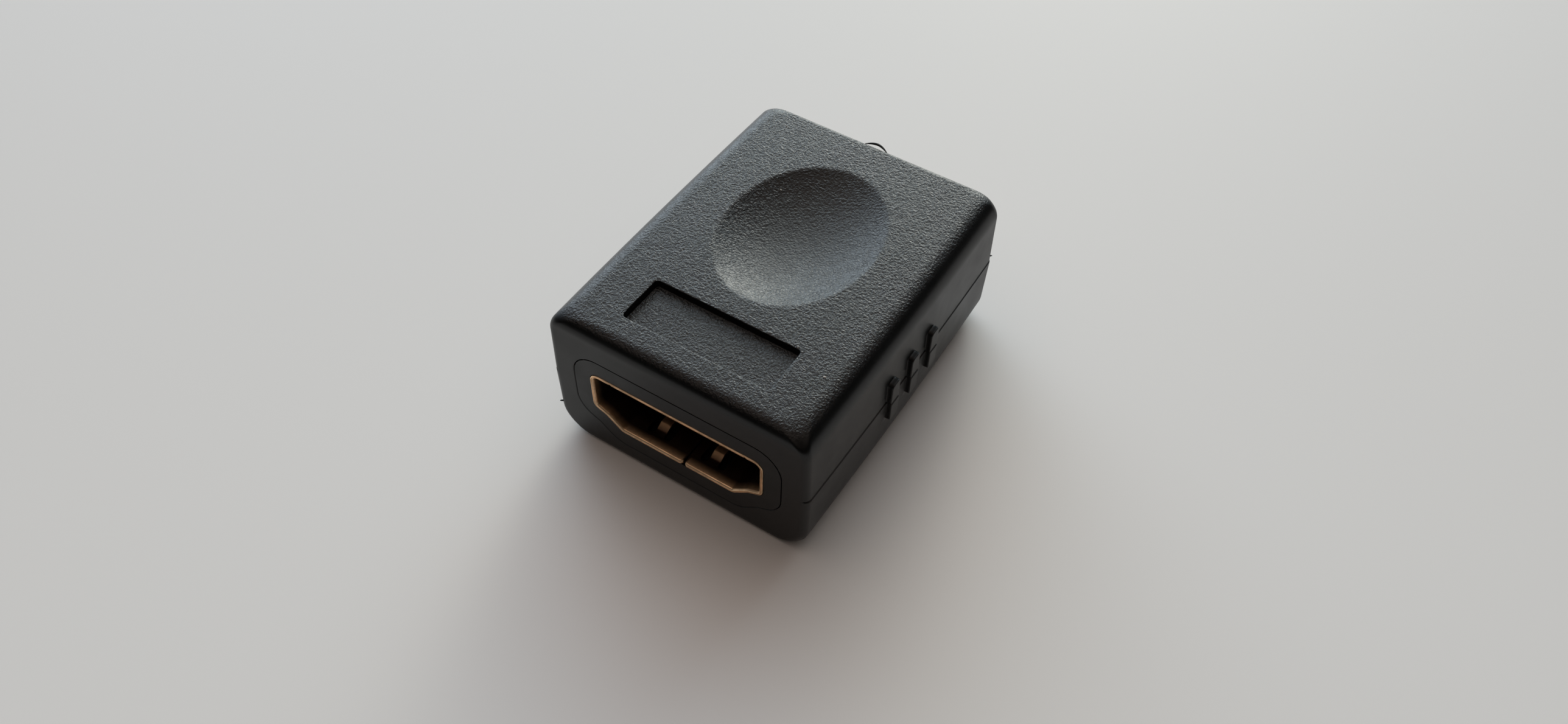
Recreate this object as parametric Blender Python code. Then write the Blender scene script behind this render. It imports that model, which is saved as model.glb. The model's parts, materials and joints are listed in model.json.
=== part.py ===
"""A female-to-female coupler for the 19-contact video connector, as an assembly.

Metres, +Z up. X is the width, Y the plug axis, and the front socket opens towards -Y.
The origin is under the middle of the body, on the surface that it rests on. The body is
worked out from the inside out: the socket opening sets the folded shell, the shell sets
the inner mould, and the inner mould and its walls set the outer body.
"""

import math

import bmesh
import bpy
import numpy as np

MM = 0.001

# Socket opening, seen from the mouth with its wide side up
OPENING_WIDTH = 14.0 * MM
OPENING_HEIGHT = 4.55 * MM
NARROW_WIDTH = 9.5 * MM
SHOULDER_WIDTH = 12.0 * MM
SHOULDER_RISE = 1.0 * MM
SHOULDER_SLOPE = 0.45 * MM
OPENING_TOP_RADIUS = 0.45 * MM
OPENING_SIDE_RADIUS = 0.3 * MM
SHOULDER_RADIUS = 0.8 * MM
OPENING_FLOOR_RADIUS = 0.35 * MM

# Folded shell
SHEET = 0.3 * MM
SHELL_DEPTH = 11.0 * MM
SHELL_PROUD = 0.06 * MM
LIP_CHAMFER = 0.12 * MM
LIP_BREAK = 0.04 * MM
SEAM_GAP = 0.14 * MM
SEAM_OFFSET = 0.55 * MM
SEAM_CORNER = 0.3 * MM
LEG_LENGTH = 1.5 * MM
LEG_HEIGHT = 1.5 * MM

# Spring tabs cut in the wide and the narrow wall
TAB_SPACING = 4.7 * MM
TAB_WIDTH = 0.85 * MM
SLOT_WIDTH = 0.62 * MM
TAB_ROOT = 0.9 * MM
TAB_FLAT = 0.5 * MM
TAB_RAMP = 0.6 * MM
TAB_RISE = 0.3 * MM
TAB_LENGTH = 4.2 * MM
TAB_COINING = 0.03 * MM
SLOT_END = 0.5 * MM

# Insulator with its tongue
BLOCK_LENGTH = 3.6 * MM
TONGUE_RECESS = 2.0 * MM
TONGUE_THICKNESS = 1.4 * MM
TONGUE_EDGE = 1.0 * MM
TONGUE_CHAMFER = 0.25 * MM
TONGUE_RAISE = 0.2 * MM

# Contacts
UPPER_CONTACTS = 10
LOWER_CONTACTS = 9
CONTACT_PITCH = 1.0 * MM
CONTACT_WIDTH = 0.45 * MM
CONTACT_THICKNESS = 0.2 * MM
CONTACT_TIP = 0.35 * MM
CONTACT_TAPER = 0.5 * MM
TAIL_LENGTH = 1.9 * MM
TAIL_WIDTH = 0.3 * MM

# Circuit board between the tails
BOARD_ROOM = 5.9 * MM
BOARD_THICKNESS = 1.0 * MM
BOARD_END_GAP = 0.1 * MM
BOARD_SIDE_GAP = 0.15 * MM
BOARD_CORNER = 0.4 * MM
PAD_LENGTH = 2.1 * MM
PAD_WIDTH = 0.6 * MM
PAD_THICKNESS = 0.04 * MM

# Inner mould
INNER_WALL = 1.42 * MM
CHAMBER_HEIGHT = 2.6 * MM
CHAMBER_SIDE = 0.4 * MM

# Outer body
SIDE_WALL = 2.23 * MM
FLOOR_WALL = 1.7 * MM
ROOF_WALL = 2.96 * MM
SIDE_CROWN = 0.15 * MM
CORNER_RADIUS = 0.4 * MM
CORNER_GROWTH = 0.8
TOP_SIDE_ROUND = 1.75 * MM
FRONT_TOP_ROUND = 1.1 * MM
REAR_TOP_ROUND = 0.5 * MM
BOTTOM_SIDE_ROUND = 2.3 * MM
BOTTOM_END_ROUND = 0.5 * MM
PARTING_HEIGHT = 6.4 * MM
PARTING_STEP = 0.06 * MM
PARTING_STEP_ENDS = 0.01 * MM
DRAFT = math.radians(1.4)

# Finger dish, label recess and grip ribs
DISH_WIDTH = 11.8 * MM
DISH_LENGTH = 15.3 * MM
DISH_DEPTH = 1.4 * MM
DISH_FROM_FRONT = 16.3 * MM
RECESS_WIDTH = 12.0 * MM
RECESS_LENGTH = 4.05 * MM
RECESS_DEPTH = 0.55 * MM
RECESS_CORNER = 0.3 * MM
RECESS_DRAFT = 0.06 * MM
RECESS_FROM_FRONT = 4.65 * MM
RIB_COUNT = 3
RIB_WIDTH = 1.13 * MM
RIB_HEIGHT = 3.85 * MM
RIB_PITCH = 2.93 * MM
RIB_PROUD = 0.4 * MM
RIB_ROOT = 0.65 * MM
RIB_DRAFT = 0.12 * MM
RIBS_FROM_FRONT = 13.75 * MM

# Clearance of one seated piece to the next
SEAT = 0.05 * MM

# Facets of the round forms
ARC_STEPS = 6
SIDE_STEPS = 12
DISH_RINGS = 12
DISH_SPOKES = 64

# How far a cutter reaches past the surface that it cuts
OVERSHOOT = 1.0 * MM
DISH_OVERCUT = 0.35 * MM

# Worked out from the values above
BODY_LENGTH = 2 * SHELL_DEPTH + BOARD_ROOM
FRONT = -BODY_LENGTH / 2
SHELL_WIDTH = OPENING_WIDTH + 2 * SHEET
SHELL_HEIGHT = OPENING_HEIGHT + 2 * SHEET
BODY_WIDTH = SHELL_WIDTH + 2 * (INNER_WALL + SIDE_WALL)
BODY_HEIGHT = FLOOR_WALL + SHELL_HEIGHT + 2 * INNER_WALL + ROOF_WALL
SOCKET_HEIGHT = FLOOR_WALL + INNER_WALL + SHELL_HEIGHT / 2
BLOCK_FRONT = SHELL_DEPTH - BLOCK_LENGTH
CONTACT_PLANE = BOARD_THICKNESS / 2 + PAD_THICKNESS + SEAT + CONTACT_THICKNESS / 2


def material(name, colour, roughness, metallic):
    """A Principled material with one colour."""
    made = bpy.data.materials.new(name)
    made.use_nodes = True
    shader = made.node_tree.nodes["Principled BSDF"]
    shader.inputs["Base Color"].default_value = (*colour, 1.0)
    shader.inputs["Roughness"].default_value = roughness
    shader.inputs["Metallic"].default_value = metallic
    made.diffuse_color = (*colour, 1.0)
    return made


def mesh_of(name, build):
    """A mesh filled by build(bm), with its faces turned outwards."""
    bm = bmesh.new()
    build(bm)
    bmesh.ops.recalc_face_normals(bm, faces=bm.faces)
    mesh = bpy.data.meshes.new(name)
    bm.to_mesh(mesh)
    bm.free()
    return mesh


def place(name, mesh, finish, parent=None):
    """An object of this mesh, smooth shaded apart from its sharp edges."""
    mesh.materials.clear()
    mesh.materials.append(finish)
    mesh.shade_smooth()
    mesh.set_sharp_from_angle(angle=math.radians(30))
    obj = bpy.data.objects.new(name, mesh)
    obj.parent = parent
    bpy.context.collection.objects.link(obj)
    return obj


def carve(mesh, *steps):
    """The mesh after Booleans, each step a pair of an operation and another mesh."""
    name = mesh.name
    target = bpy.data.objects.new("carved", mesh)
    bpy.context.collection.objects.link(target)
    helpers = []
    for operation, other in steps:
        helper = bpy.data.objects.new("carver", other)
        bpy.context.collection.objects.link(helper)
        helpers.append(helper)
        cut = target.modifiers.new("Carve", "BOOLEAN")
        cut.operation = operation
        cut.solver = "EXACT"
        cut.object = helper
    bpy.context.view_layer.update()
    graph = bpy.context.evaluated_depsgraph_get()
    result = bpy.data.meshes.new_from_object(target.evaluated_get(graph))
    for obj in (target, *helpers):
        used = obj.data
        bpy.data.objects.remove(obj)
        bpy.data.meshes.remove(used)
    result.name = name
    return result


def add_loft(bm, loops):
    """A closed solid through loops of points that have as many points each."""
    rings = [[bm.verts.new(point) for point in loop] for loop in loops]
    for lower, upper in zip(rings, rings[1:]):
        for i in range(len(lower)):
            bm.faces.new((lower[i - 1], lower[i], upper[i], upper[i - 1]))
    bm.faces.new(rings[0])
    bm.faces.new(rings[-1])


def add_prism(bm, outline, start, end):
    """A solid of this outline in X and Z, from start to end along Y."""
    add_loft(bm, [[(x, y, z) for x, z in outline] for y in (start, end)])


def add_box(bm, low, high):
    """A box between two corners."""
    outline = ((low[0], low[2]), (high[0], low[2]), (high[0], high[2]), (low[0], high[2]))
    add_prism(bm, outline, low[1], high[1])


def rounded(corners, steps=ARC_STEPS):
    """A closed outline from (a, b, radius) corners, with each corner an arc."""
    points = []
    for i, (a, b, radius) in enumerate(corners):
        corner = np.array((a, b))
        back = np.array(corners[i - 1][:2]) - corner
        ahead = np.array(corners[(i + 1) % len(corners)][:2]) - corner
        back /= np.linalg.norm(back)
        ahead /= np.linalg.norm(ahead)
        half_angle = math.acos(float(np.clip(back @ ahead, -1.0, 1.0))) / 2
        middle = (back + ahead) / np.linalg.norm(back + ahead)
        centre = corner + middle * radius / math.sin(half_angle)
        first = corner + back * radius / math.tan(half_angle) - centre
        start = math.atan2(first[1], first[0])
        turn = math.pi - 2 * half_angle
        side = 1.0 if back[0] * ahead[1] - back[1] * ahead[0] < 0 else -1.0
        for step in range(steps + 1):
            angle = start + side * turn * step / steps
            points.append((centre[0] + radius * math.cos(angle), centre[1] + radius * math.sin(angle)))
    return points


def socket_corners(offset):
    """Corners of the socket's outline, moved outwards by offset, anticlockwise from its seam."""
    top = OPENING_HEIGHT / 2
    floor = -OPENING_HEIGHT / 2
    ledge = floor + SHOULDER_RISE
    right = [
        (NARROW_WIDTH / 2, floor, OPENING_FLOOR_RADIUS),
        (SHOULDER_WIDTH / 2, ledge, -SHOULDER_RADIUS),
        (OPENING_WIDTH / 2, ledge + SHOULDER_SLOPE, OPENING_SIDE_RADIUS),
        (OPENING_WIDTH / 2, top, OPENING_TOP_RADIUS),
    ]
    corners = right + [(-x, z, radius) for x, z, radius in reversed(right)]
    moved = []
    for i, (x, z, radius) in enumerate(corners):
        corner = np.array((x, z))
        inward = corner - np.array(corners[i - 1][:2])
        outward = np.array(corners[(i + 1) % len(corners)][:2]) - corner
        first = np.array((inward[1], -inward[0])) / np.linalg.norm(inward)
        second = np.array((outward[1], -outward[0])) / np.linalg.norm(outward)
        shift = (first + second) * offset / (1 + first @ second)
        bend = radius + offset if radius > 0 else max(-radius - offset, SHEET)
        moved.append((x + shift[0], z + shift[1], bend))
    return moved


def socket_outline(offset):
    """The socket's outline moved outwards by offset, as (x, z) points."""
    return rounded(socket_corners(offset))


def shell_path():
    """The sheet's section from one edge of the seam, round the opening, to the other.

    Each station is (inner point, outer point, distance from the seam's edge), and that
    distance stops at the radius of the edge's round corner.
    """
    floor_inner = -OPENING_HEIGHT / 2
    floor_outer = floor_inner - SHEET
    fillet = [SEAM_CORNER * (1 - math.cos(math.pi / 2 * k / ARC_STEPS)) for k in range(ARC_STEPS + 1)]
    right_edge = SEAM_OFFSET + SEAM_GAP / 2
    left_edge = SEAM_OFFSET - SEAM_GAP / 2
    first = [(right_edge + away, away) for away in fillet]
    last = [(left_edge - away, away) for away in reversed(fillet)]
    stations = [((x, floor_inner), (x, floor_outer), away) for x, away in first]
    stations += [(a, b, SEAM_CORNER) for a, b in zip(socket_outline(0.0), socket_outline(SHEET))]
    stations += [((x, floor_inner), (x, floor_outer), away) for x, away in last]
    return stations


def build_shell_sheet(bm):
    """The folded sheet: a thin section with a chamfered lip, carried round the opening."""
    rear = SHELL_DEPTH + LEG_LENGTH
    loops = []
    for inner, outer, away in shell_path():
        corner_drop = SEAM_CORNER - math.sqrt(SEAM_CORNER**2 - (SEAM_CORNER - away) ** 2)
        mouth = corner_drop - SHELL_PROUD
        inner = np.array(inner)
        outer = np.array(outer)
        sheet = (outer - inner) / np.linalg.norm(outer - inner)
        edge_out = outer - sheet * LIP_BREAK
        edge_in = inner + sheet * LIP_CHAMFER
        loops.append([
            (outer[0], mouth + LIP_BREAK, outer[1]),
            (edge_out[0], mouth, edge_out[1]),
            (edge_in[0], mouth, edge_in[1]),
            (inner[0], mouth + LIP_CHAMFER, inner[1]),
            (inner[0], rear, inner[1]),
            (outer[0], rear, outer[1]),
        ])
    add_loft(bm, loops)


def build_rear_trim(bm):
    """What is cut from the rear of the sheet, so that only its two side legs are left."""
    reach = SHELL_WIDTH / 2 + OVERSHOOT
    rear = SHELL_DEPTH + LEG_LENGTH + OVERSHOOT
    leg_top = TONGUE_RAISE + LEG_HEIGHT / 2
    leg_bottom = TONGUE_RAISE - LEG_HEIGHT / 2
    add_box(bm, (-reach, SHELL_DEPTH, leg_top), (reach, rear, SHELL_HEIGHT))
    add_box(bm, (-reach, SHELL_DEPTH, -SHELL_HEIGHT), (reach, rear, leg_bottom))


def tab_middles():
    """X of the middle of each spring tab."""
    return (-TAB_SPACING / 2, TAB_SPACING / 2)


def wall_faces(wall, margin):
    """Z of both faces of the wide (1) or the narrow (-1) wall, with a margin on each side."""
    return sorted((wall * (OPENING_HEIGHT / 2 - margin), wall * (OPENING_HEIGHT / 2 + SHEET + margin)))


def build_slots(bm):
    """The slots on both sides of each tab, in both walls."""
    apart = TAB_WIDTH / 2 + SLOT_WIDTH / 2
    for middle in tab_middles():
        for wall in (-1, 1):
            for side in (-1, 1):
                add_slot(bm, middle + side * apart, TAB_ROOT, slot_rear(), *wall_faces(wall, SHEET))


def build_windows(bm):
    """The sheet between each pair of slots, which the bent tab takes the place of.

    A window ends in the middle of the slots' round ends and reaches into the slots.
    """
    across = TAB_WIDTH / 2 + SLOT_WIDTH / 4
    front = TAB_ROOT + SLOT_WIDTH / 2
    rear = slot_rear() - SLOT_WIDTH / 2
    for middle in tab_middles():
        for wall in (-1, 1):
            low, high = wall_faces(wall, SHEET / 2)
            add_box(bm, (middle - across, front, low), (middle + across, rear, high))


def slot_rear():
    """Y of the slots' rear ends, a little behind the tabs' free ends."""
    return TAB_ROOT + TAB_LENGTH + SLOT_END


def add_slot(bm, x, front, rear, low, high):
    """A slot along Y with half-round ends, cut from low to high in Z."""
    radius = SLOT_WIDTH / 2
    outline = []
    for end, turn in ((front + radius, math.pi), (rear - radius, 0.0)):
        for step in range(ARC_STEPS + 1):
            angle = turn + math.pi * step / ARC_STEPS
            outline.append((x + radius * math.cos(angle), end + radius * math.sin(angle)))
    add_loft(bm, [[(a, b, z) for a, b in outline] for z in (low, high)])


def tab_line():
    """The tab's run from inside the sheet at its root to its free end, as (y, rise into the opening)."""
    ramp_start = TAB_ROOT + TAB_FLAT
    ramp_end = ramp_start + TAB_RAMP
    free_end = TAB_ROOT + TAB_LENGTH
    return (
        (TAB_ROOT - SLOT_WIDTH / 2, 0.0),
        (ramp_start, 0.0),
        (ramp_end, TAB_RISE),
        (ramp_end + TAB_RAMP, TAB_RISE),
        (free_end, TAB_RISE / 2),
    )


def build_tabs(bm):
    """The four spring tabs, each a strip that bends into the opening behind its root.

    A tab is thinner than the sheet by TAB_COINING on each face, where the press has squeezed it.
    """
    for middle in tab_middles():
        left = middle - TAB_WIDTH / 2
        right = middle + TAB_WIDTH / 2
        for wall in (-1, 1):
            loops = []
            for y, rise in tab_line():
                face = wall * (OPENING_HEIGHT / 2 - rise + TAB_COINING)
                back = wall * (OPENING_HEIGHT / 2 - rise + SHEET - TAB_COINING)
                loops.append([(left, y, face), (right, y, face), (right, y, back), (left, y, back)])
            add_loft(bm, loops)


def shell_mesh():
    """The whole folded shell in the socket's own frame, with its mouth at Y = 0."""
    sheet = mesh_of("shell", build_shell_sheet)
    return carve(
        sheet,
        ("DIFFERENCE", mesh_of("rear trim", build_rear_trim)),
        ("DIFFERENCE", mesh_of("slots", build_slots)),
        ("DIFFERENCE", mesh_of("windows", build_windows)),
        ("UNION", mesh_of("tabs", build_tabs)),
    )


def contact_places():
    """(x, side) of each contact, the upper row first. Side is 1 above the tongue, -1 below."""
    rows = ((UPPER_CONTACTS, 1), (LOWER_CONTACTS, -1))
    return [((i - (count - 1) / 2) * CONTACT_PITCH, side) for count, side in rows for i in range(count)]


def contact_front():
    """Y of the contacts' tips, a little behind the tongue's tip."""
    return TONGUE_RECESS + CONTACT_TIP


def build_tongue(bm):
    """The tongue, with a chamfered tip. It runs on through the block to the shell's rear."""
    half_width = (UPPER_CONTACTS - 1) / 2 * CONTACT_PITCH + CONTACT_WIDTH / 2 + TONGUE_EDGE
    half_height = TONGUE_THICKNESS / 2
    loops = []
    for y, cut in ((TONGUE_RECESS, TONGUE_CHAMFER), (TONGUE_RECESS + TONGUE_CHAMFER, 0.0), (SHELL_DEPTH, 0.0)):
        x = half_width - cut
        low = TONGUE_RAISE - half_height + cut
        high = TONGUE_RAISE + half_height - cut
        loops.append([(-x, y, low), (x, y, low), (x, y, high), (-x, y, high)])
    add_loft(bm, loops)


def build_block(bm):
    """The block that closes the rear of the shell."""
    add_prism(bm, socket_outline(-SEAT), BLOCK_FRONT, SHELL_DEPTH)


def build_contact_slots(bm):
    """A groove on the tongue for each contact, which runs on through the block."""
    half = CONTACT_WIDTH / 2 + SEAT
    inner = CONTACT_PLANE - CONTACT_THICKNESS / 2 - SEAT
    outer = CONTACT_PLANE + CONTACT_THICKNESS / 2 + SEAT
    for x, side in contact_places():
        low, high = sorted((TONGUE_RAISE + side * inner, TONGUE_RAISE + side * outer))
        add_box(bm, (x - half, contact_front() - SEAT, low), (x + half, SHELL_DEPTH + OVERSHOOT, high))


def insulator_mesh():
    """Block and tongue in one moulding, in the socket's own frame."""
    return carve(
        mesh_of("insulator", build_tongue),
        ("UNION", mesh_of("block", build_block)),
        ("DIFFERENCE", mesh_of("contact slots", build_contact_slots)),
    )


def contact_mesh(side):
    """One stamped contact: a coined tip, a flat run and a tapered tail. Its middle is at X = 0."""

    def build(bm):
        inner = TONGUE_RAISE + side * (CONTACT_PLANE - CONTACT_THICKNESS / 2)
        outer = TONGUE_RAISE + side * (CONTACT_PLANE + CONTACT_THICKNESS / 2)
        middle = TONGUE_RAISE + side * CONTACT_PLANE
        front = contact_front()
        rear = SHELL_DEPTH + TAIL_LENGTH
        wide = CONTACT_WIDTH / 2
        narrow = TAIL_WIDTH / 2
        stations = (
            (front, narrow, middle),
            (front + CONTACT_TAPER, wide, outer),
            (SHELL_DEPTH, wide, outer),
            (SHELL_DEPTH + CONTACT_TAPER, narrow, outer),
            (rear - CONTACT_TAPER, narrow, outer),
            (rear, narrow, middle),
        )
        loops = [[(-w, y, inner), (w, y, inner), (w, y, top), (-w, y, top)] for y, w, top in stations]
        add_loft(bm, loops)

    return mesh_of("upper contact" if side > 0 else "lower contact", build)


def build_socket(end, turn, finishes, meshes):
    """One socket's pieces, under an empty at its mouth."""
    socket = bpy.data.objects.new(f"{end}_socket", None)
    socket.location = (0.0, FRONT if end == "front" else -FRONT, SOCKET_HEIGHT)
    socket.rotation_euler = (0.0, 0.0, turn)
    bpy.context.collection.objects.link(socket)
    place(f"{end}_shell", meshes["shell"], finishes["plating"], socket)
    place(f"{end}_insulator", meshes["insulator"], finishes["insulator"], socket)
    for number, (x, side) in enumerate(contact_places(), 1):
        contact = place(f"{end}_contact_{number:02d}", meshes[side], finishes["plating"], socket)
        contact.location.x = x


def build_board(bm):
    """The board's plate, with its corners cut."""
    half_length = BOARD_ROOM / 2 - BOARD_END_GAP
    half_width = OPENING_WIDTH / 2 - BOARD_SIDE_GAP
    cut = BOARD_CORNER
    outline = [
        (half_width - cut, -half_length), (half_width, -half_length + cut),
        (half_width, half_length - cut), (half_width - cut, half_length),
        (-half_width + cut, half_length), (-half_width, half_length - cut),
        (-half_width, -half_length + cut), (-half_width + cut, -half_length),
    ]
    middle = SOCKET_HEIGHT + TONGUE_RAISE
    heights = (middle - BOARD_THICKNESS / 2, middle + BOARD_THICKNESS / 2)
    add_loft(bm, [[(x, y, z) for x, y in outline] for z in heights])


def build_pads(bm):
    """A plated pad under each contact's tail, on both ends of the board."""
    edge = BOARD_ROOM / 2 - BOARD_END_GAP - SEAT
    middle = SOCKET_HEIGHT + TONGUE_RAISE
    inner = BOARD_THICKNESS / 4
    outer = BOARD_THICKNESS / 2 + PAD_THICKNESS
    for x, side in contact_places():
        for end in (-1, 1):
            near, far = sorted((end * edge, end * (edge - PAD_LENGTH)))
            low, high = sorted((middle + side * inner, middle + side * outer))
            left = -end * x - PAD_WIDTH / 2
            add_box(bm, (left, near, low), (left + PAD_WIDTH, far, high))


def board_mesh():
    """The circuit board: its plate and the pads on it."""
    return carve(mesh_of("circuit board", build_board), ("UNION", mesh_of("pads", build_pads)))


def build_inner_mould(bm):
    """The inner mould's outside, as long as the body."""
    outline = [(x, z + SOCKET_HEIGHT) for x, z in socket_outline(SHEET + INNER_WALL)]
    add_prism(bm, outline, FRONT, -FRONT)


def build_shell_pockets(bm):
    """A pocket for each shell, from the face down to the shell's rear edge."""
    depth = SHELL_DEPTH + SEAT
    for end in (-1, 1):
        outline = [(-end * x, z + SOCKET_HEIGHT) for x, z in socket_outline(SHEET + SEAT)]
        near, far = sorted((end * (-FRONT + OVERSHOOT), end * (-FRONT - depth)))
        add_prism(bm, outline, near, far)


def build_chamber(bm):
    """The room for the board, the contact tails and the shells' legs."""
    half_width = SHELL_WIDTH / 2 + CHAMBER_SIDE
    middle = SOCKET_HEIGHT + TONGUE_RAISE
    reach = BOARD_ROOM / 2 + SHEET
    low = (-half_width, -reach, middle - CHAMBER_HEIGHT / 2)
    high = (half_width, reach, middle + CHAMBER_HEIGHT / 2)
    add_box(bm, low, high)


def inner_mould_mesh():
    """The inner mould, hollow for the shells and the board."""
    return carve(
        mesh_of("inner mould", build_inner_mould),
        ("DIFFERENCE", mesh_of("shell pockets", build_shell_pockets)),
        ("DIFFERENCE", mesh_of("chamber", build_chamber)),
    )


def fillet_inset(depth, radius):
    """How far a round edge lies inside its flat face, at this depth from the edge."""
    if depth >= radius:
        return 0.0
    return radius - math.sqrt(radius**2 - (radius - max(depth, 0.0)) ** 2)


def body_ring(z):
    """The body's outline at a height: crowned sides, and corners that grow rounder on the round edges."""
    from_top = BODY_HEIGHT - z
    side = fillet_inset(from_top, TOP_SIDE_ROUND) + fillet_inset(z, BOTTOM_SIDE_ROUND)
    front = fillet_inset(from_top, FRONT_TOP_ROUND) + fillet_inset(z, BOTTOM_END_ROUND)
    rear = fillet_inset(from_top, REAR_TOP_ROUND) + fillet_inset(z, BOTTOM_END_ROUND)
    draft = abs(z - PARTING_HEIGHT) * math.tan(DRAFT)
    half = BODY_WIDTH / 2 - side - draft
    low = FRONT + front
    high = -FRONT - rear
    ends = []
    for y, end_inset in ((low, front), (high, rear)):
        radius = CORNER_RADIUS + CORNER_GROWTH * (side + end_inset) / 2
        ends.append((y, radius))
    return crowned_outline(half, *ends)


def crowned_outline(half, front, rear):
    """A rounded rectangle of fixed point count, its long sides bowed out by the crown."""
    (low, low_radius), (high, high_radius) = front, rear
    corners = (
        (half - low_radius, low + low_radius, low_radius, -90),
        (half - high_radius, high - high_radius, high_radius, 0),
        (-half + high_radius, high - high_radius, high_radius, 90),
        (-half + low_radius, low + low_radius, low_radius, 180),
    )
    points = []
    for i, (x, y, radius, start) in enumerate(corners):
        for step in range(ARC_STEPS + 1):
            angle = math.radians(start + 90 * step / ARC_STEPS)
            points.append((x + radius * math.cos(angle), y + radius * math.sin(angle)))
        if i in (0, 2):
            here_x, here_y = points[-1]
            run = corners[i + 1][1] - here_y
            points += [(here_x, here_y + run * step / SIDE_STEPS) for step in range(1, SIDE_STEPS)]
    crown = SIDE_CROWN / (BODY_WIDTH / 2)
    return [(x * (1 - crown * (y / FRONT) ** 2), y) for x, y in points]


def body_heights():
    """Heights of the body's rings below and above the parting line, close together on the round edges."""
    sweep = [1 - math.cos(math.pi / 2 * k / ARC_STEPS) for k in range(ARC_STEPS + 1)]
    bottom = [BOTTOM_SIDE_ROUND * part for part in sweep]
    top = [BODY_HEIGHT - TOP_SIDE_ROUND * part for part in reversed(sweep)]
    return bottom, top


def build_body(bm):
    """The outer body's outside. Its lower half is a little narrower, so a step marks the parting line."""
    bottom, top = body_heights()
    shrink_x = 1 - PARTING_STEP / (BODY_WIDTH / 2)
    shrink_y = 1 - PARTING_STEP_ENDS / (BODY_LENGTH / 2)
    lower = [[(x * shrink_x, y * shrink_y, z) for x, y in body_ring(z)] for z in bottom + [PARTING_HEIGHT]]
    upper = [[(x, y, z) for x, y in body_ring(z)] for z in [PARTING_HEIGHT] + top]
    add_loft(bm, lower + upper)


def build_tunnel(bm):
    """The way through the body that the inner mould fills."""
    outline = [(x, z + SOCKET_HEIGHT) for x, z in socket_outline(SHEET + INNER_WALL + SEAT)]
    add_prism(bm, outline, FRONT - OVERSHOOT, -FRONT + OVERSHOOT)


def build_dish(bm):
    """A spherical cap drawn out along Y to the dish's oval rim, turned about the dish's axis."""
    rim = DISH_WIDTH / 2
    ball = (rim**2 + DISH_DEPTH**2) / (2 * DISH_DEPTH)
    stretch = DISH_LENGTH / DISH_WIDTH
    middle = FRONT + DISH_FROM_FRONT
    widest = math.acos(1 - (DISH_DEPTH + DISH_OVERCUT) / ball)
    bottom = bm.verts.new((0.0, middle, BODY_HEIGHT - DISH_DEPTH))
    rings = []
    for ring in range(1, DISH_RINGS + 1):
        angle = widest * ring / DISH_RINGS
        radius = ball * math.sin(angle)
        height = BODY_HEIGHT - DISH_DEPTH + ball * (1 - math.cos(angle))
        rings.append([
            bm.verts.new((radius * math.cos(turn), middle + stretch * radius * math.sin(turn), height))
            for turn in (2 * math.pi * spoke / DISH_SPOKES for spoke in range(DISH_SPOKES))
        ])
    for i in range(DISH_SPOKES):
        bm.faces.new((bottom, rings[0][i - 1], rings[0][i]))
    for inner, outer in zip(rings, rings[1:]):
        for i in range(DISH_SPOKES):
            bm.faces.new((inner[i - 1], outer[i - 1], outer[i], inner[i]))
    bm.faces.new(rings[-1])


def build_recess(bm):
    """The label recess: a shallow pocket with round corners and walls that open a little upwards."""
    middle = FRONT + RECESS_FROM_FRONT
    loops = []
    for height, grow in ((-RECESS_DEPTH, -RECESS_DRAFT), (RECESS_DEPTH, RECESS_DRAFT)):
        x = RECESS_WIDTH / 2 + grow
        y = RECESS_LENGTH / 2 + grow
        radius = RECESS_CORNER
        outline = rounded([(x, -y, radius), (x, y, radius), (-x, y, radius), (-x, -y, radius)])
        loops.append([(a, b + middle, BODY_HEIGHT + height) for a, b in outline])
    add_loft(bm, loops)


def build_ribs(bm):
    """The grip ribs: upright pills on both sides, centred on the parting line."""
    outer = BODY_WIDTH / 2 + RIB_PROUD
    root = BODY_WIDTH / 2 - RIB_ROOT
    slope = RIB_DRAFT / RIB_PROUD
    for index in range(RIB_COUNT):
        middle = FRONT + RIBS_FROM_FRONT + (index - (RIB_COUNT - 1) / 2) * RIB_PITCH
        for side in (-1, 1):
            loops = []
            for x in (root, outer):
                grow = (outer - x) * slope
                loops.append([(side * x, middle + a, PARTING_HEIGHT + b) for a, b in pill(grow)])
            add_loft(bm, loops)


def pill(grow):
    """An upright pill's outline in (y, z), moved outwards by grow."""
    radius = RIB_WIDTH / 2 + grow
    straight = (RIB_HEIGHT - RIB_WIDTH) / 2
    points = []
    for centre, start in ((straight, 0.0), (-straight, math.pi)):
        for step in range(ARC_STEPS + 1):
            angle = start + math.pi * step / ARC_STEPS
            points.append((radius * math.cos(angle), centre + radius * math.sin(angle)))
    return points


def body_mesh():
    """The overmould: its outside, ribs, tunnel, dish and recess."""
    return carve(
        mesh_of("overmould", build_body),
        ("UNION", mesh_of("ribs", build_ribs)),
        ("DIFFERENCE", mesh_of("tunnel", build_tunnel)),
        ("DIFFERENCE", mesh_of("dish", build_dish)),
        ("DIFFERENCE", mesh_of("recess", build_recess)),
    )


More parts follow.
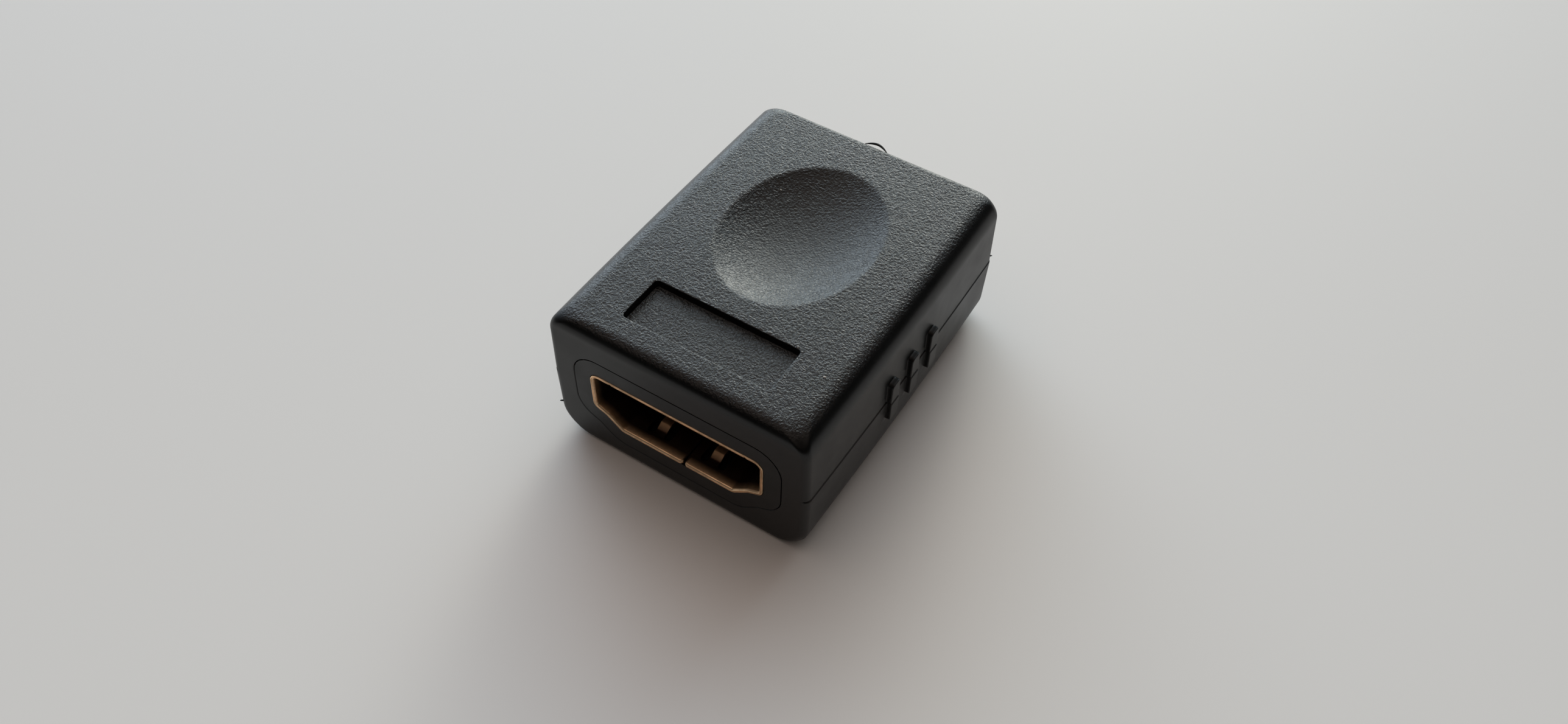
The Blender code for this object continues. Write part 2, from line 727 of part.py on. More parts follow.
def main():
    for obj in list(bpy.data.objects):
        bpy.data.objects.remove(obj)
    finishes = {
        "skin": material("Black overmould", (0.022, 0.024, 0.025), 0.5, 0.0),
        "inner": material("Black inner mould", (0.018, 0.018, 0.019), 0.55, 0.0),
        "plating": material("Gold plating", (0.78, 0.47, 0.27), 0.3, 1.0),
        "insulator": material("Black insulator", (0.012, 0.012, 0.012), 0.45, 0.0),
        "board": material("Board", (0.02, 0.12, 0.05), 0.4, 0.0),
    }
    meshes = {"shell": shell_mesh(), "insulator": insulator_mesh(), 1: contact_mesh(1), -1: contact_mesh(-1)}
    place("overmould", body_mesh(), finishes["skin"])
    place("inner_mould", inner_mould_mesh(), finishes["inner"])
    place("circuit_board", board_mesh(), finishes["board"])
    build_socket("front", 0.0, finishes, meshes)
    build_socket("rear", math.pi, finishes, meshes)


main()
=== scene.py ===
# %% [markdown]
# # A video connector coupler, dressed for the camera
# The real object is a small black coupler that joins two video leads. Its outer body is moulded round
# an inner one, which holds a gold-plated socket at each end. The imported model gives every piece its
# size and place. This lesson gives the pieces that show their true surface: round edges, moulded
# grain, the fine line where the two mould halves met, and plated metal.

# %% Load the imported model
import json
import math

import bmesh
import bpy
import numpy as np
from mathutils import Matrix, Vector

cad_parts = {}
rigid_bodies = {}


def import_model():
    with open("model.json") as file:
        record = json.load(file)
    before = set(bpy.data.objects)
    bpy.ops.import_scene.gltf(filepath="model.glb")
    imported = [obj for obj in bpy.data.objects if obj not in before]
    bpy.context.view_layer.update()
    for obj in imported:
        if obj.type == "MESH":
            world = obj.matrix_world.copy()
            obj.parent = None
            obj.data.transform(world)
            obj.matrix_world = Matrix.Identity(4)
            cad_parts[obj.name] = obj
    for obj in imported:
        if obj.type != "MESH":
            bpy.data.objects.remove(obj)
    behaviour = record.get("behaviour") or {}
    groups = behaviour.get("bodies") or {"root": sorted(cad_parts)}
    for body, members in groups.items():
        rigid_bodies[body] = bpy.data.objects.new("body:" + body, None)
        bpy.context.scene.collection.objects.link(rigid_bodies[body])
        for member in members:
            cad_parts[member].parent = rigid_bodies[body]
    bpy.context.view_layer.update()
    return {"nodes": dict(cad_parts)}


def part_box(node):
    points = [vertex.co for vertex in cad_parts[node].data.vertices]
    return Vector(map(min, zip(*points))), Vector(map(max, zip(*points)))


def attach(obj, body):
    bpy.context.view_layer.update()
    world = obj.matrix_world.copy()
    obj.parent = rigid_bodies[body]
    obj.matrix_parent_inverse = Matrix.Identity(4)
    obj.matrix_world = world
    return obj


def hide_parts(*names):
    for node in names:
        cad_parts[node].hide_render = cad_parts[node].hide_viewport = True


for leftover in list(bpy.data.objects):
    bpy.data.objects.remove(leftover)
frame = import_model()
MM = 0.001

# %% [markdown]
# ## The camera
# The camera comes first, because it decides how much detail each surface needs. Its place and turn were
# solved from straight edges of the object in the photograph, so it stands very close, looking down at
# fifty degrees, and is rolled by two degrees.

# %% Place the camera
CAMERA_PLACE = Vector((32.43, -53.81, 75.34)) * MM
CAMERA_LOOKS = Vector((-0.32914, 0.55130, -0.76664))
CAMERA_ROLL = math.radians(2.01)
PHOTO_SIZE = (2576, 1190)
FOCAL_PIXELS = 2016.5
SENSOR = 36.0

camera_data = bpy.data.cameras.new("Camera")
camera_data.sensor_width = SENSOR
camera_data.lens = SENSOR * FOCAL_PIXELS / PHOTO_SIZE[0]
camera_data.clip_start = 1 * MM
camera = bpy.data.objects.new("Camera", camera_data)
camera.rotation_mode = "QUATERNION"
turn = CAMERA_LOOKS.to_track_quat("-Z", "Y").to_matrix() @ Matrix.Rotation(CAMERA_ROLL, 3, "Z")
camera.rotation_quaternion = turn.to_quaternion()
camera.location = CAMERA_PLACE
bpy.context.collection.objects.link(camera)
bpy.context.scene.camera = camera
print("lens in mm:", round(camera_data.lens, 2))

# %% [markdown]
# ## Sizes
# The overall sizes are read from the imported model. The rounds and small steps are those of the real
# mouldings. The ribs, the upright corners and the step at the parting line follow a later look at the
# photograph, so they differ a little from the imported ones.

# %% Read the driving sizes from the frame
body_low, body_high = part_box("overmould")
shell_low, shell_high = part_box("front_shell")
inner_low, inner_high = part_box("inner_mould")
RIB_PROUD = 0.4 * MM
LENGTH = body_high.y - body_low.y
HEIGHT = body_high.z
HALF_WIDTH = body_high.x - RIB_PROUD
FRONT = body_low.y
SHEET = 0.3 * MM
OPENING_WIDTH = shell_high.x - shell_low.x - 2 * SHEET
OPENING_HEIGHT = shell_high.z - shell_low.z - 2 * SHEET
SOCKET_MIDDLE = (shell_low.z + shell_high.z) / 2
INNER_WALL = inner_high.x - shell_high.x
SEAT = 0.05 * MM
PARTING = 6.4 * MM
print("body in mm:", [round(v / MM, 2) for v in (2 * HALF_WIDTH, LENGTH, HEIGHT)])

# %% [markdown]
# ## Surfaces from grids
# Every new surface below is a grid of points, worked out as whole arrays. A patch is a pair: its points
# and its faces. Patches share the points along their edges, so that they merge into one closed skin.

# %% Patches made of rows of points
def grid_faces(rows, columns, wrap=False, first=0):
    """Quads of a grid: each point with its right, upper right and upper neighbour."""
    index = first + np.arange(rows * columns).reshape(rows, columns)
    if wrap:
        index = np.concatenate([index, index[:, :1]], axis=1)
    quads = np.stack([index[:-1, :-1], index[:-1, 1:], index[1:, 1:], index[1:, :-1]], axis=-1)
    return quads.reshape(-1, 4)


def grid_patch(grid, wrap=False, keep=None):
    """A patch from a (rows, columns, 3) array. keep is a mask of the cells that stay."""
    faces = grid_faces(grid.shape[0], grid.shape[1], wrap)
    if keep is not None:
        faces = faces[keep.reshape(-1)]
    return grid.reshape(-1, 3), faces


def fan_patch(loop, centre):
    """Triangles from each side of a closed loop to one centre point."""
    count = len(loop)
    here = np.arange(count)
    faces = np.stack([here, (here + 1) % count, np.full(count, count)], axis=-1)
    return np.concatenate([loop, [centre]]), faces


def zip_patch(inner, outer, axes, centre, stretch=(1.0, 1.0)):
    """A flat ring between two closed loops with any number of points each.

    Both loops are sorted by their angle about the centre. Each side of one loop makes a triangle
    with the last point of the other loop that lies before the side's end.
    """
    def by_angle(loop):
        flat = (loop[:, axes] - centre) / stretch
        angle = np.arctan2(flat[:, 1], flat[:, 0])
        order = np.argsort(angle)
        return loop[order], angle[order]

    inner, inner_angle = by_angle(inner)
    outer, outer_angle = by_angle(outer)
    a = np.arange(len(inner))
    b = np.arange(len(outer))
    a_next = (a + 1) % len(a)
    b_next = (b + 1) % len(b)
    across = (np.searchsorted(outer_angle, inner_angle[a_next], "left") - 1) % len(b)
    back = (np.searchsorted(inner_angle, outer_angle[b_next], "right") - 1) % len(a)
    inner_sides = np.stack([a, a_next, across + len(a)], axis=-1)
    outer_sides = np.stack([b + len(a), b_next + len(a), back], axis=-1)
    return np.concatenate([inner, outer]), np.concatenate([inner_sides, outer_sides])


def block_loop(grid, rows, columns):
    """The grid's points round a block of cells, anticlockwise in grid order."""
    (r0, r1), (c0, c1) = rows, columns
    return np.concatenate([
        grid[r0, c0:c1], grid[r0:r1, c1], grid[r1, c1:c0:-1], grid[r1:r0:-1, c0],
    ])


def smooth(value):
    """0 below 0, 1 above 1, and a smooth S between."""
    t = np.clip(value, 0.0, 1.0)
    return t * t * (3 - 2 * t)


# %% Join patches into one closed mesh
MERGE = 0.0008 * MM


def join_patches(name, patches, sharp_degrees=38):
    """One object from patches: shared points are merged, faces turned outwards and shaded smooth."""
    points = np.concatenate([p for p, _ in patches])
    starts = np.cumsum([0] + [len(p) for p, _ in patches[:-1]])
    faces = [face for (_, f), start in zip(patches, starts) for face in (np.asarray(f) + start).tolist()]
    mesh = bpy.data.meshes.new(name)
    mesh.from_pydata(points.tolist(), [], faces)
    bm = bmesh.new()
    bm.from_mesh(mesh)
    bmesh.ops.remove_doubles(bm, verts=bm.verts, dist=MERGE)
    bmesh.ops.dissolve_degenerate(bm, edges=bm.edges, dist=MERGE / 10)
    bmesh.ops.recalc_face_normals(bm, faces=bm.faces)
    open_edges = sum(not edge.is_manifold for edge in bm.edges)
    bm.to_mesh(mesh)
    bm.free()
    mesh.shade_smooth()
    mesh.set_sharp_from_angle(angle=math.radians(sharp_degrees))
    obj = bpy.data.objects.new(name, mesh)
    bpy.context.collection.objects.link(obj)
    triangles = sum(len(face.vertices) - 2 for face in mesh.polygons)
    print(name, "triangles:", triangles, "open edges:", open_edges)
    return obj


# %% [markdown]
# ## The socket's outline
# Plug and socket share one outline: a wide top, short upright sides, an S-shaped shoulder and a narrow
# floor. Moved outwards it gives the sheet's outside, the inner mould and the tunnel in the body.

# %% The outline as arcs between corners
SHOULDER_LEDGE = 1.0 * MM
SHOULDER_SLOPE = 0.45 * MM
FLOOR_HALF = 4.75 * MM
SHOULDER_HALF = 6.0 * MM
FLOOR_RADIUS = 0.35 * MM
SHOULDER_RADIUS = 0.8 * MM
SIDE_RADIUS = 0.3 * MM
TOP_RADIUS = 0.45 * MM


def socket_corners(offset):
    """(x, z, radius) of each corner, moved outwards by offset, anticlockwise from the floor's right end."""
    top = OPENING_HEIGHT / 2
    ledge = -top + SHOULDER_LEDGE
    side = OPENING_WIDTH / 2
    right = np.array([
        (FLOOR_HALF, -top, FLOOR_RADIUS),
        (SHOULDER_HALF, ledge, -SHOULDER_RADIUS),
        (side, ledge + SHOULDER_SLOPE, SIDE_RADIUS),
        (side, top, TOP_RADIUS),
    ])
    corners = np.concatenate([right, right[::-1] * (-1, 1, 1)])
    ahead = np.roll(corners[:, :2], -1, axis=0) - corners[:, :2]
    ahead /= np.linalg.norm(ahead, axis=1, keepdims=True)
    out = np.stack([ahead[:, 1], -ahead[:, 0]], axis=1)
    before = np.roll(out, 1, axis=0)
    shift = (before + out) * offset / (1 + (before * out).sum(axis=1, keepdims=True))
    radius = corners[:, 2]
    bend = np.where(radius > 0, radius + offset, np.maximum(-radius - offset, SHEET))
    return np.column_stack([corners[:, :2] + shift, bend])


def rounded(corners, steps):
    """A closed outline: each corner becomes an arc that touches both its sides."""
    spot, radius = corners[:, :2], corners[:, 2:]
    back = np.roll(spot, 1, axis=0) - spot
    ahead = np.roll(spot, -1, axis=0) - spot
    back /= np.linalg.norm(back, axis=1, keepdims=True)
    ahead /= np.linalg.norm(ahead, axis=1, keepdims=True)
    half = np.arccos(np.clip((back * ahead).sum(axis=1, keepdims=True), -1, 1)) / 2
    middle = (back + ahead) / np.linalg.norm(back + ahead, axis=1, keepdims=True)
    centre = spot + middle * radius / np.sin(half)
    first = spot + back * radius / np.tan(half) - centre
    last = spot + ahead * radius / np.tan(half) - centre
    share = np.linspace(0, 1, steps + 1)[:, None, None]
    sweep = math.pi - 2 * half
    arcs = (first * np.sin((1 - share) * sweep) + last * np.sin(share * sweep)) / np.sin(sweep)
    return (centre + arcs).transpose(1, 0, 2).reshape(-1, 2)


def socket_outline(offset, steps=10):
    """(x, z) points of the socket's outline, moved outwards by offset, at its height in the body."""
    return rounded(socket_corners(offset), steps) + (0.0, SOCKET_MIDDLE)


print("outline points:", len(socket_outline(0.0)))

# %% [markdown]
# ## The outer body's skin
# The body is a stack of rings. Each ring is a rectangle with round corners, and its sides bow out a
# little. Near the top and the bottom the rings shrink along a circle, which makes the round edges. A
# boundary of such a stack is easy to leave open, so that the tunnel, the dish, the recess and the ribs
# can be let into it afterwards.

# %% The body's rings
SIDE_CROWN = 0.15 * MM
CORNER_RADIUS = 0.55 * MM
CORNER_GROWTH = 1.1
TOP_SIDE_ROUND = 1.75 * MM
FRONT_TOP_ROUND = 1.1 * MM
REAR_TOP_ROUND = 0.5 * MM
BOTTOM_SIDE_ROUND = 2.3 * MM
BOTTOM_END_ROUND = 0.5 * MM
DRAFT = math.tan(math.radians(1.4))
PARTING_STEP = -0.05 * MM
GROOVE_HALF = 0.085 * MM
GROOVE_DEPTH = 0.2 * MM


def fillet_inset(depth, radius):
    """How far a round edge of this radius lies inside its face, at a depth below the edge."""
    inside = np.clip(radius - depth, 0.0, radius)
    return radius - np.sqrt(radius**2 - inside**2)


def parting_inset(z):
    """The lower mould half stands a hair proud, and a fine groove runs where the halves met."""
    below = smooth((PARTING + GROOVE_HALF - z) / (2 * GROOVE_HALF))
    groove = np.clip(1 - np.abs(z - PARTING) / GROOVE_HALF, 0.0, 1.0)
    return PARTING_STEP * below + GROOVE_DEPTH * groove


def body_rings(z, front_share, side_share, corner_steps=14):
    """Rings of points at the heights z, as a (heights, points, 3) array.

    A ring runs along the front edge, round the right front corner, back along the right side, and so
    on. A share runs from 0 to 1 along its edge. The corners are tight on the walls, and their radius
    grows with the inset where the round edges pull the ring in.
    """
    from_top = HEIGHT - z
    side = fillet_inset(from_top, TOP_SIDE_ROUND) + fillet_inset(z, BOTTOM_SIDE_ROUND)
    front = fillet_inset(from_top, FRONT_TOP_ROUND) + fillet_inset(z, BOTTOM_END_ROUND)
    rear = fillet_inset(from_top, REAR_TOP_ROUND) + fillet_inset(z, BOTTOM_END_ROUND)
    half = (HALF_WIDTH - side - np.abs(z - PARTING) * DRAFT)[:, None]
    low = (FRONT + front)[:, None]
    high = (-FRONT - rear)[:, None]
    low_radius = (CORNER_RADIUS + CORNER_GROWTH * (side + front) / 2)[:, None]
    high_radius = (CORNER_RADIUS + CORNER_GROWTH * (side + rear) / 2)[:, None]
    arc = np.linspace(0, math.pi / 2, corner_steps + 1)[None, 1:-1]
    edge = front_share[None, :] * 2 - 1
    run = side_share[None, :]
    ones = np.ones_like(half)
    near_x, near_y = half - low_radius, low + low_radius
    far_x, far_y = half - high_radius, high - high_radius
    pieces = (
        (near_x * edge, low * np.ones_like(edge), 0 * ones * edge),
        (near_x + low_radius * np.sin(arc), near_y - low_radius * np.cos(arc), ones * np.sin(arc)),
        (half * np.ones_like(run), near_y + (far_y - near_y) * run, ones * np.ones_like(run)),
        (far_x + high_radius * np.cos(arc), far_y + high_radius * np.sin(arc), ones * np.cos(arc)),
        (-far_x * edge, high * np.ones_like(edge), 0 * ones * edge),
        (-far_x - high_radius * np.sin(arc), far_y + high_radius * np.cos(arc), -ones * np.sin(arc)),
        (-half * np.ones_like(run), far_y + (near_y - far_y) * run, -ones * np.ones_like(run)),
        (-near_x - low_radius * np.cos(arc), near_y - low_radius * np.sin(arc), -ones * np.cos(arc)),
    )
    x, y, facing = (np.concatenate([piece[i] for piece in pieces], axis=1) for i in range(3))
    x = x * (1 - SIDE_CROWN / HALF_WIDTH * (y / FRONT) ** 2) - facing * parting_inset(z)[:, None]
    return np.stack([x, y, np.broadcast_to(z[:, None], x.shape)], axis=-1)


# %% Choose where the rings and their points lie
RIB_COUNT = 3
RIB_WIDTH = 1.13 * MM
RIB_HEIGHT = 3.85 * MM
RIB_PITCH = 2.93 * MM
RIB_MIDDLE = FRONT + 14.05 * MM
RIB_BLOCK_HALF = 1.35 * MM
RIB_BLOCK_RISE = 2.4 * MM
RIB_CELLS = 14
FRONT_CELLS = 40
FRONT_END_SHARES = (0.006, 0.994)
SIDE_END_POINTS = 30
COLLARS = np.array([0.1, 0.25]) * MM
BOTTOM_STEPS = 14
TOP_STEPS = 18
LOW_WALL_RINGS = np.array([2.9, 3.5]) * MM
HIGH_WALL_RINGS = np.array([9.3, 10.0, 10.5]) * MM
BELOW_TOP_ROUND = 0.1 * MM


def edge_steps(count):
    """Shares from 0 to 1 along a quarter round, close together where it meets the flat face."""
    return 1 - np.cos(np.linspace(0, math.pi / 2, count + 1))


rib_middles = RIB_MIDDLE + (np.arange(RIB_COUNT) - (RIB_COUNT - 1) / 2) * RIB_PITCH
near_end = FRONT + CORNER_RADIUS
far_end = -near_end
stretches = [np.linspace(near_end, rib_middles[0] - RIB_BLOCK_HALF, SIDE_END_POINTS)]
for middle in rib_middles:
    stretches.append(middle + np.linspace(-RIB_BLOCK_HALF, RIB_BLOCK_HALF, RIB_CELLS + 1))
stretches.append(np.linspace(rib_middles[-1] + RIB_BLOCK_HALF, far_end, SIDE_END_POINTS))
stretches += [near_end + COLLARS, far_end - COLLARS]
side_y = np.unique(np.round(np.concatenate(stretches), 9))
side_share = (side_y - near_end) / (far_end - near_end)
front_share = np.unique(np.concatenate([np.linspace(0, 1, FRONT_CELLS + 1), FRONT_END_SHARES]))

fine = GROOVE_HALF * np.array([-1.6, -1.0, -0.5, 0.0, 0.5, 1.0, 1.6])
climb = np.linspace(3 * GROOVE_HALF, RIB_BLOCK_RISE, 9)
heights = np.concatenate([
    BOTTOM_SIDE_ROUND * edge_steps(BOTTOM_STEPS),
    LOW_WALL_RINGS,
    PARTING - climb[::-1],
    PARTING + fine,
    PARTING + climb,
    HIGH_WALL_RINGS,
    [HEIGHT - TOP_SIDE_ROUND - BELOW_TOP_ROUND],
    HEIGHT - TOP_SIDE_ROUND * edge_steps(TOP_STEPS)[::-1],
])
rings = body_rings(heights, front_share, side_share)
print("rings and points:", rings.shape[:2])

# %% [markdown]
# ## The grip ribs
# Each rib is an upright bar that stands 0.4 mm proud of the side. A block of cells is taken out of the
# rings, and the hole is filled by loops that turn from the block's edge into the rib's outline, climb
# its wall and close over its top. The loops have one point for each point round the block.

# %% One rib as loops between a block's edge and its own top
RIB_CORNER = 0.3 * MM
RIB_CORNER_CELLS = 5
RIB_WALL = 0.01 * MM
RIB_EDGE = 0.06 * MM
RIB_FOOT = 0.04 * MM
RIB_STRAIGHT = RIB_HEIGHT / 2 - RIB_CORNER
GROOVE_KEEP = 0.3 * MM


def side_face(y, z):
    """X of the body's right side at a place on it."""
    flat = HALF_WIDTH - np.abs(z - PARTING) * DRAFT
    return flat * (1 - SIDE_CROWN / HALF_WIDTH * (y / FRONT) ** 2) - parting_inset(z)


def rib_rise(levels):
    """The block's heights about the parting line, kept near the groove and squeezed to the rib beyond."""
    rise = np.interp(np.abs(levels), (0, GROOVE_KEEP, RIB_BLOCK_RISE), (0, GROOVE_KEEP, RIB_STRAIGHT))
    return rise * np.sign(levels)


def rib_loop(levels, columns, grow):
    """(y, z) round a rib's face, a round rectangle.

    The block's upright sides become its straights, and the block's ends become its corners and ends.
    """
    half = RIB_WIDTH / 2 + grow
    radius = RIB_CORNER + grow
    right = np.column_stack([np.full(len(levels), half), rib_rise(levels)])
    turn = np.linspace(0, math.pi / 2, RIB_CORNER_CELLS + 1)
    corner = np.column_stack([
        half - radius + radius * np.cos(turn), RIB_STRAIGHT + radius * np.sin(turn),
    ])
    across = np.linspace(1, -1, columns - 2 * RIB_CORNER_CELLS + 1)[1:-1]
    flat = np.column_stack([(half - radius) * across, np.full(len(across), RIB_STRAIGHT + radius)])
    over = np.concatenate([corner, flat, corner[::-1] * (-1, 1)])
    return np.concatenate([-over[:-1], right[:-1], over[:-1], right[:0:-1] * (-1, 1)])


def rib_patches(grid, rows, columns, middle, side):
    """The loops of one rib, and the small grid that closes its top.

    Each outline is (growth beyond the rib's face, share of the rib's height): foot, wall, round edge
    and a last loop on the flat face.
    """
    (r0, r1), (c0, c1) = rows, columns
    levels = grid[r0:r1 + 1, c0, 2] - PARTING
    count = c1 - c0
    block = block_loop(grid, rows, columns)
    order = 1 if side > 0 else -1
    top = HALF_WIDTH + RIB_PROUD
    bend = np.linspace(0, math.pi / 2, 5)
    outlines = [(RIB_WALL + RIB_FOOT, 0.0), (RIB_WALL + RIB_FOOT / 3, 0.05)]
    outlines += [(RIB_WALL * (1 - part), 0.1 + 0.62 * part) for part in (0.0, 0.5, 1.0)]
    outlines += [(RIB_EDGE * (np.cos(a) - 1), 0.75 + 0.25 * np.sin(a)) for a in bend]
    outlines += [(-RIB_EDGE * 2.2, 1.0)]
    loops = [block]
    for grow, share in outlines:
        y, z = rib_loop(levels, count, grow).T
        y = y * order + middle
        z = z + PARTING
        foot = side_face(y, z)
        crest = top - parting_inset(z) * smooth(share)
        loops.append(np.column_stack([side * (foot + (crest - foot) * share), y, z]))
    inner_y = np.linspace(-RIB_WIDTH / 5, RIB_WIDTH / 5, count + 1) * order + middle
    mesh_y, mesh_z = np.meshgrid(inner_y, rib_rise(levels) + PARTING)
    cap = np.stack([side * (top - parting_inset(mesh_z)), mesh_y, mesh_z], axis=-1)
    loops.append(block_loop(cap, (0, r1 - r0), (0, count)))
    return [grid_patch(np.array(loops), wrap=True), grid_patch(cap)]


# %% [markdown]
# ## Finger dish and label recess
# The dish is part of a sphere, drawn out along the body, with a crisp rim that has only a hair of
# rounding. The recess is a shallow pocket whose walls lean out a little, as moulded walls do.

# %% The dish as rings about its lowest point
DISH_HALF_WIDTH = 5.9 * MM
DISH_HALF_LENGTH = 7.65 * MM
DISH_DEPTH = 1.4 * MM
DISH_MIDDLE = FRONT + 16.3 * MM
DISH_BALL = (DISH_HALF_WIDTH**2 + DISH_DEPTH**2) / (2 * DISH_DEPTH)
RIM_SOFTNESS = 0.05 * MM


def dish_rings(spokes=176):
    """(rings, spokes, 3): a spherical cap stretched along Y, eased into the flat top at its rim.

    The cap's height s is negative inside the rim. The eased height is half of s less the root of
    s squared plus the softness squared, which never rises above the flat.
    """
    reach = np.concatenate([np.linspace(0.03, 0.93, 31), np.linspace(0.945, 1.045, 15), [1.06]])
    turn = np.linspace(0, 2 * math.pi, spokes, endpoint=False)
    cap = DISH_BALL - DISH_DEPTH - np.sqrt(DISH_BALL**2 - (reach * DISH_HALF_WIDTH) ** 2)
    drop = (cap - np.sqrt(cap**2 + RIM_SOFTNESS**2)) / 2
    drop -= drop[-2] * smooth((reach - 0.9) / (reach[-2] - 0.9))
    drop[-2:] = 0.0
    x = reach[:, None] * DISH_HALF_WIDTH * np.cos(turn)
    y = DISH_MIDDLE + reach[:, None] * DISH_HALF_LENGTH * np.sin(turn)
    z = np.broadcast_to(HEIGHT + drop[:, None], x.shape)
    return np.stack([x, y, z], axis=-1)


# %% The recess as loops from its rim to its floor
RECESS_HALF_WIDTH = 6.0 * MM
RECESS_HALF_LENGTH = 2.03 * MM
RECESS_DEPTH = 0.55 * MM
RECESS_CORNER = 0.3 * MM
RECESS_MIDDLE = FRONT + 4.65 * MM
RECESS_LEAN = 0.06 * MM
RECESS_EDGE = 0.08 * MM


def recess_loops():
    """(loops, points, 3): round rectangles that follow the rim's round, the wall and the floor's round."""
    bend = np.linspace(0, math.pi / 2, 5)
    rim = [(RECESS_EDGE * (1 - math.sin(a)), -RECESS_EDGE * (1 - math.cos(a))) for a in bend]
    foot = [
        (-RECESS_LEAN - RECESS_EDGE * (1 - math.cos(a)), -RECESS_DEPTH + RECESS_EDGE * (1 - math.sin(a)))
        for a in bend
    ]
    steps = [(3 * RECESS_EDGE, 0.0)] + rim + foot + [(-RECESS_LEAN - 3 * RECESS_EDGE, -RECESS_DEPTH)]
    loops = []
    for grow, drop in steps:
        x = RECESS_HALF_WIDTH + grow
        y = RECESS_HALF_LENGTH + grow
        corners = np.array([(x, -y), (x, y), (-x, y), (-x, -y)])
        radius = max(RECESS_CORNER + grow, RECESS_EDGE)
        outline = rounded(np.column_stack([corners, np.full(4, radius)]), 8)
        height = np.full(len(outline), HEIGHT + drop)
        loops.append(np.column_stack([outline + (0.0, RECESS_MIDDLE), height]))
    return np.array(loops)


# %% [markdown]
# ## Close the skin
# The flat stretches are zipped: round the tunnel's two mouths, round the dish and round the recess. The
# top is split by one straight row of points between the dish and the recess, because a zip goes round
# one hole at a time.

# %% The tunnel's wall from mouth to mouth
MOUTH_ROUND = 0.07 * MM
TUNNEL_OFFSET = SHEET + INNER_WALL + SEAT


def tunnel_loops():
    """Loops along Y: the outline grows by a quarter round at each mouth."""
    bend = np.linspace(0, math.pi / 2, 4)
    mouth = [(MOUTH_ROUND * (1 - math.sin(a)), MOUTH_ROUND * (1 - math.cos(a))) for a in bend]
    mouth = [(2 * MOUTH_ROUND, 0.0)] + mouth
    steps = [(grow, FRONT + deep) for grow, deep in mouth]
    steps += [(grow, -FRONT - deep) for grow, deep in reversed(mouth)]
    loops = []
    for grow, y in steps:
        outline = socket_outline(TUNNEL_OFFSET + grow)
        loops.append(np.column_stack([outline[:, 0], np.full(len(outline), y), outline[:, 1]]))
    return np.array(loops)


# %% Gather the patches of the outer body
MOUTH_BLOCK = (1.0 * MM, 10.5 * MM)
MOUTH_BLOCK_MARGIN = 2
TOP_COLLAR = 0.1 * MM
TOP_SPLIT = -6.15 * MM
SPLIT_POINTS = 39


def nearest(values, value):
    """Index of the entry that is nearest to a value."""
    return int(np.abs(np.asarray(values) - value).argmin())


def body_patches():
    """All patches of the outer body's skin."""
    count = rings.shape[1]
    keep = np.ones((len(heights) - 1, count), bool)
    patches = []
    rib_rows = tuple(nearest(heights, PARTING + rise) for rise in (-RIB_BLOCK_RISE, RIB_BLOCK_RISE))
    mouth_rows = tuple(nearest(heights, level) for level in MOUTH_BLOCK)
    middle_row = rings[nearest(heights, PARTING)]
    row_x, row_y = middle_row[:, 0], middle_row[:, 1]
    for side in (1, -1):
        on_side = np.flatnonzero((row_x * side > HALF_WIDTH / 2) & (np.abs(row_y) < far_end))
        for middle in rib_middles:
            ends = [middle - side * RIB_BLOCK_HALF, middle + side * RIB_BLOCK_HALF]
            columns = tuple(int(on_side[nearest(row_y[on_side], end)]) for end in ends)
            keep[rib_rows[0]:rib_rows[1], columns[0]:columns[1]] = False
            patches += rib_patches(rings, rib_rows, columns, middle, side)
    tunnel = tunnel_loops()
    patches.append(grid_patch(tunnel, wrap=True))
    for mouth in (tunnel[0], tunnel[-1]):
        on_face = np.flatnonzero(np.abs(row_y - mouth[0, 1]) < MERGE)
        columns = (int(on_face[MOUTH_BLOCK_MARGIN]), int(on_face[-1 - MOUTH_BLOCK_MARGIN]))
        keep[mouth_rows[0]:mouth_rows[1], columns[0]:columns[1]] = False
        block = block_loop(rings, mouth_rows, columns)
        patches.append(zip_patch(mouth, block, (0, 2), (0.0, SOCKET_MIDDLE), stretch=(2.0, 1.0)))
    closed = np.concatenate([rings, rings[:, :1]], axis=1)
    patches.append(grid_patch(closed, keep=keep))
    patches.append(fan_patch(rings[0], (0.0, 0.0, 0.0)))
    patches += top_patches(rings[-1])
    return patches


def top_patches(edge):
    """The flat top with a narrow collar inside its edge, the dish and the recess."""
    collar_ring = edge * (1 - TOP_COLLAR / HALF_WIDTH, 1 - TOP_COLLAR / (LENGTH / 2), 1)
    right = nearest(np.where(collar_ring[:, 0] > 0, collar_ring[:, 1], 1), TOP_SPLIT)
    left = nearest(np.where(collar_ring[:, 0] < 0, collar_ring[:, 1], 1), TOP_SPLIT)
    share = np.linspace(0, 1, SPLIT_POINTS + 2)[1:-1, None]
    line = collar_ring[right] * (1 - share) + collar_ring[left] * share
    front_cell = np.concatenate([collar_ring[left:], collar_ring[:right + 1], line])
    rear_cell = np.concatenate([collar_ring[right:left + 1], line[::-1]])
    dish = dish_rings()
    recess = recess_loops()
    return [
        grid_patch(np.array([edge, collar_ring]), wrap=True),
        grid_patch(dish, wrap=True),
        fan_patch(dish[0], (0.0, DISH_MIDDLE, HEIGHT - DISH_DEPTH)),
        zip_patch(dish[-1], rear_cell, (0, 1), (0.0, DISH_MIDDLE), stretch=(1.0, 1.3)),
        grid_patch(recess, wrap=True),
        fan_patch(recess[-1], (0.0, RECESS_MIDDLE, HEIGHT - RECESS_DEPTH)),
        zip_patch(recess[0], front_cell, (0, 1), (0.0, RECESS_MIDDLE), stretch=(3.0, 1.0)),
    ]


outer_body = join_patches("outer_body", body_patches())
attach(outer_body, "root")
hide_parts("overmould")

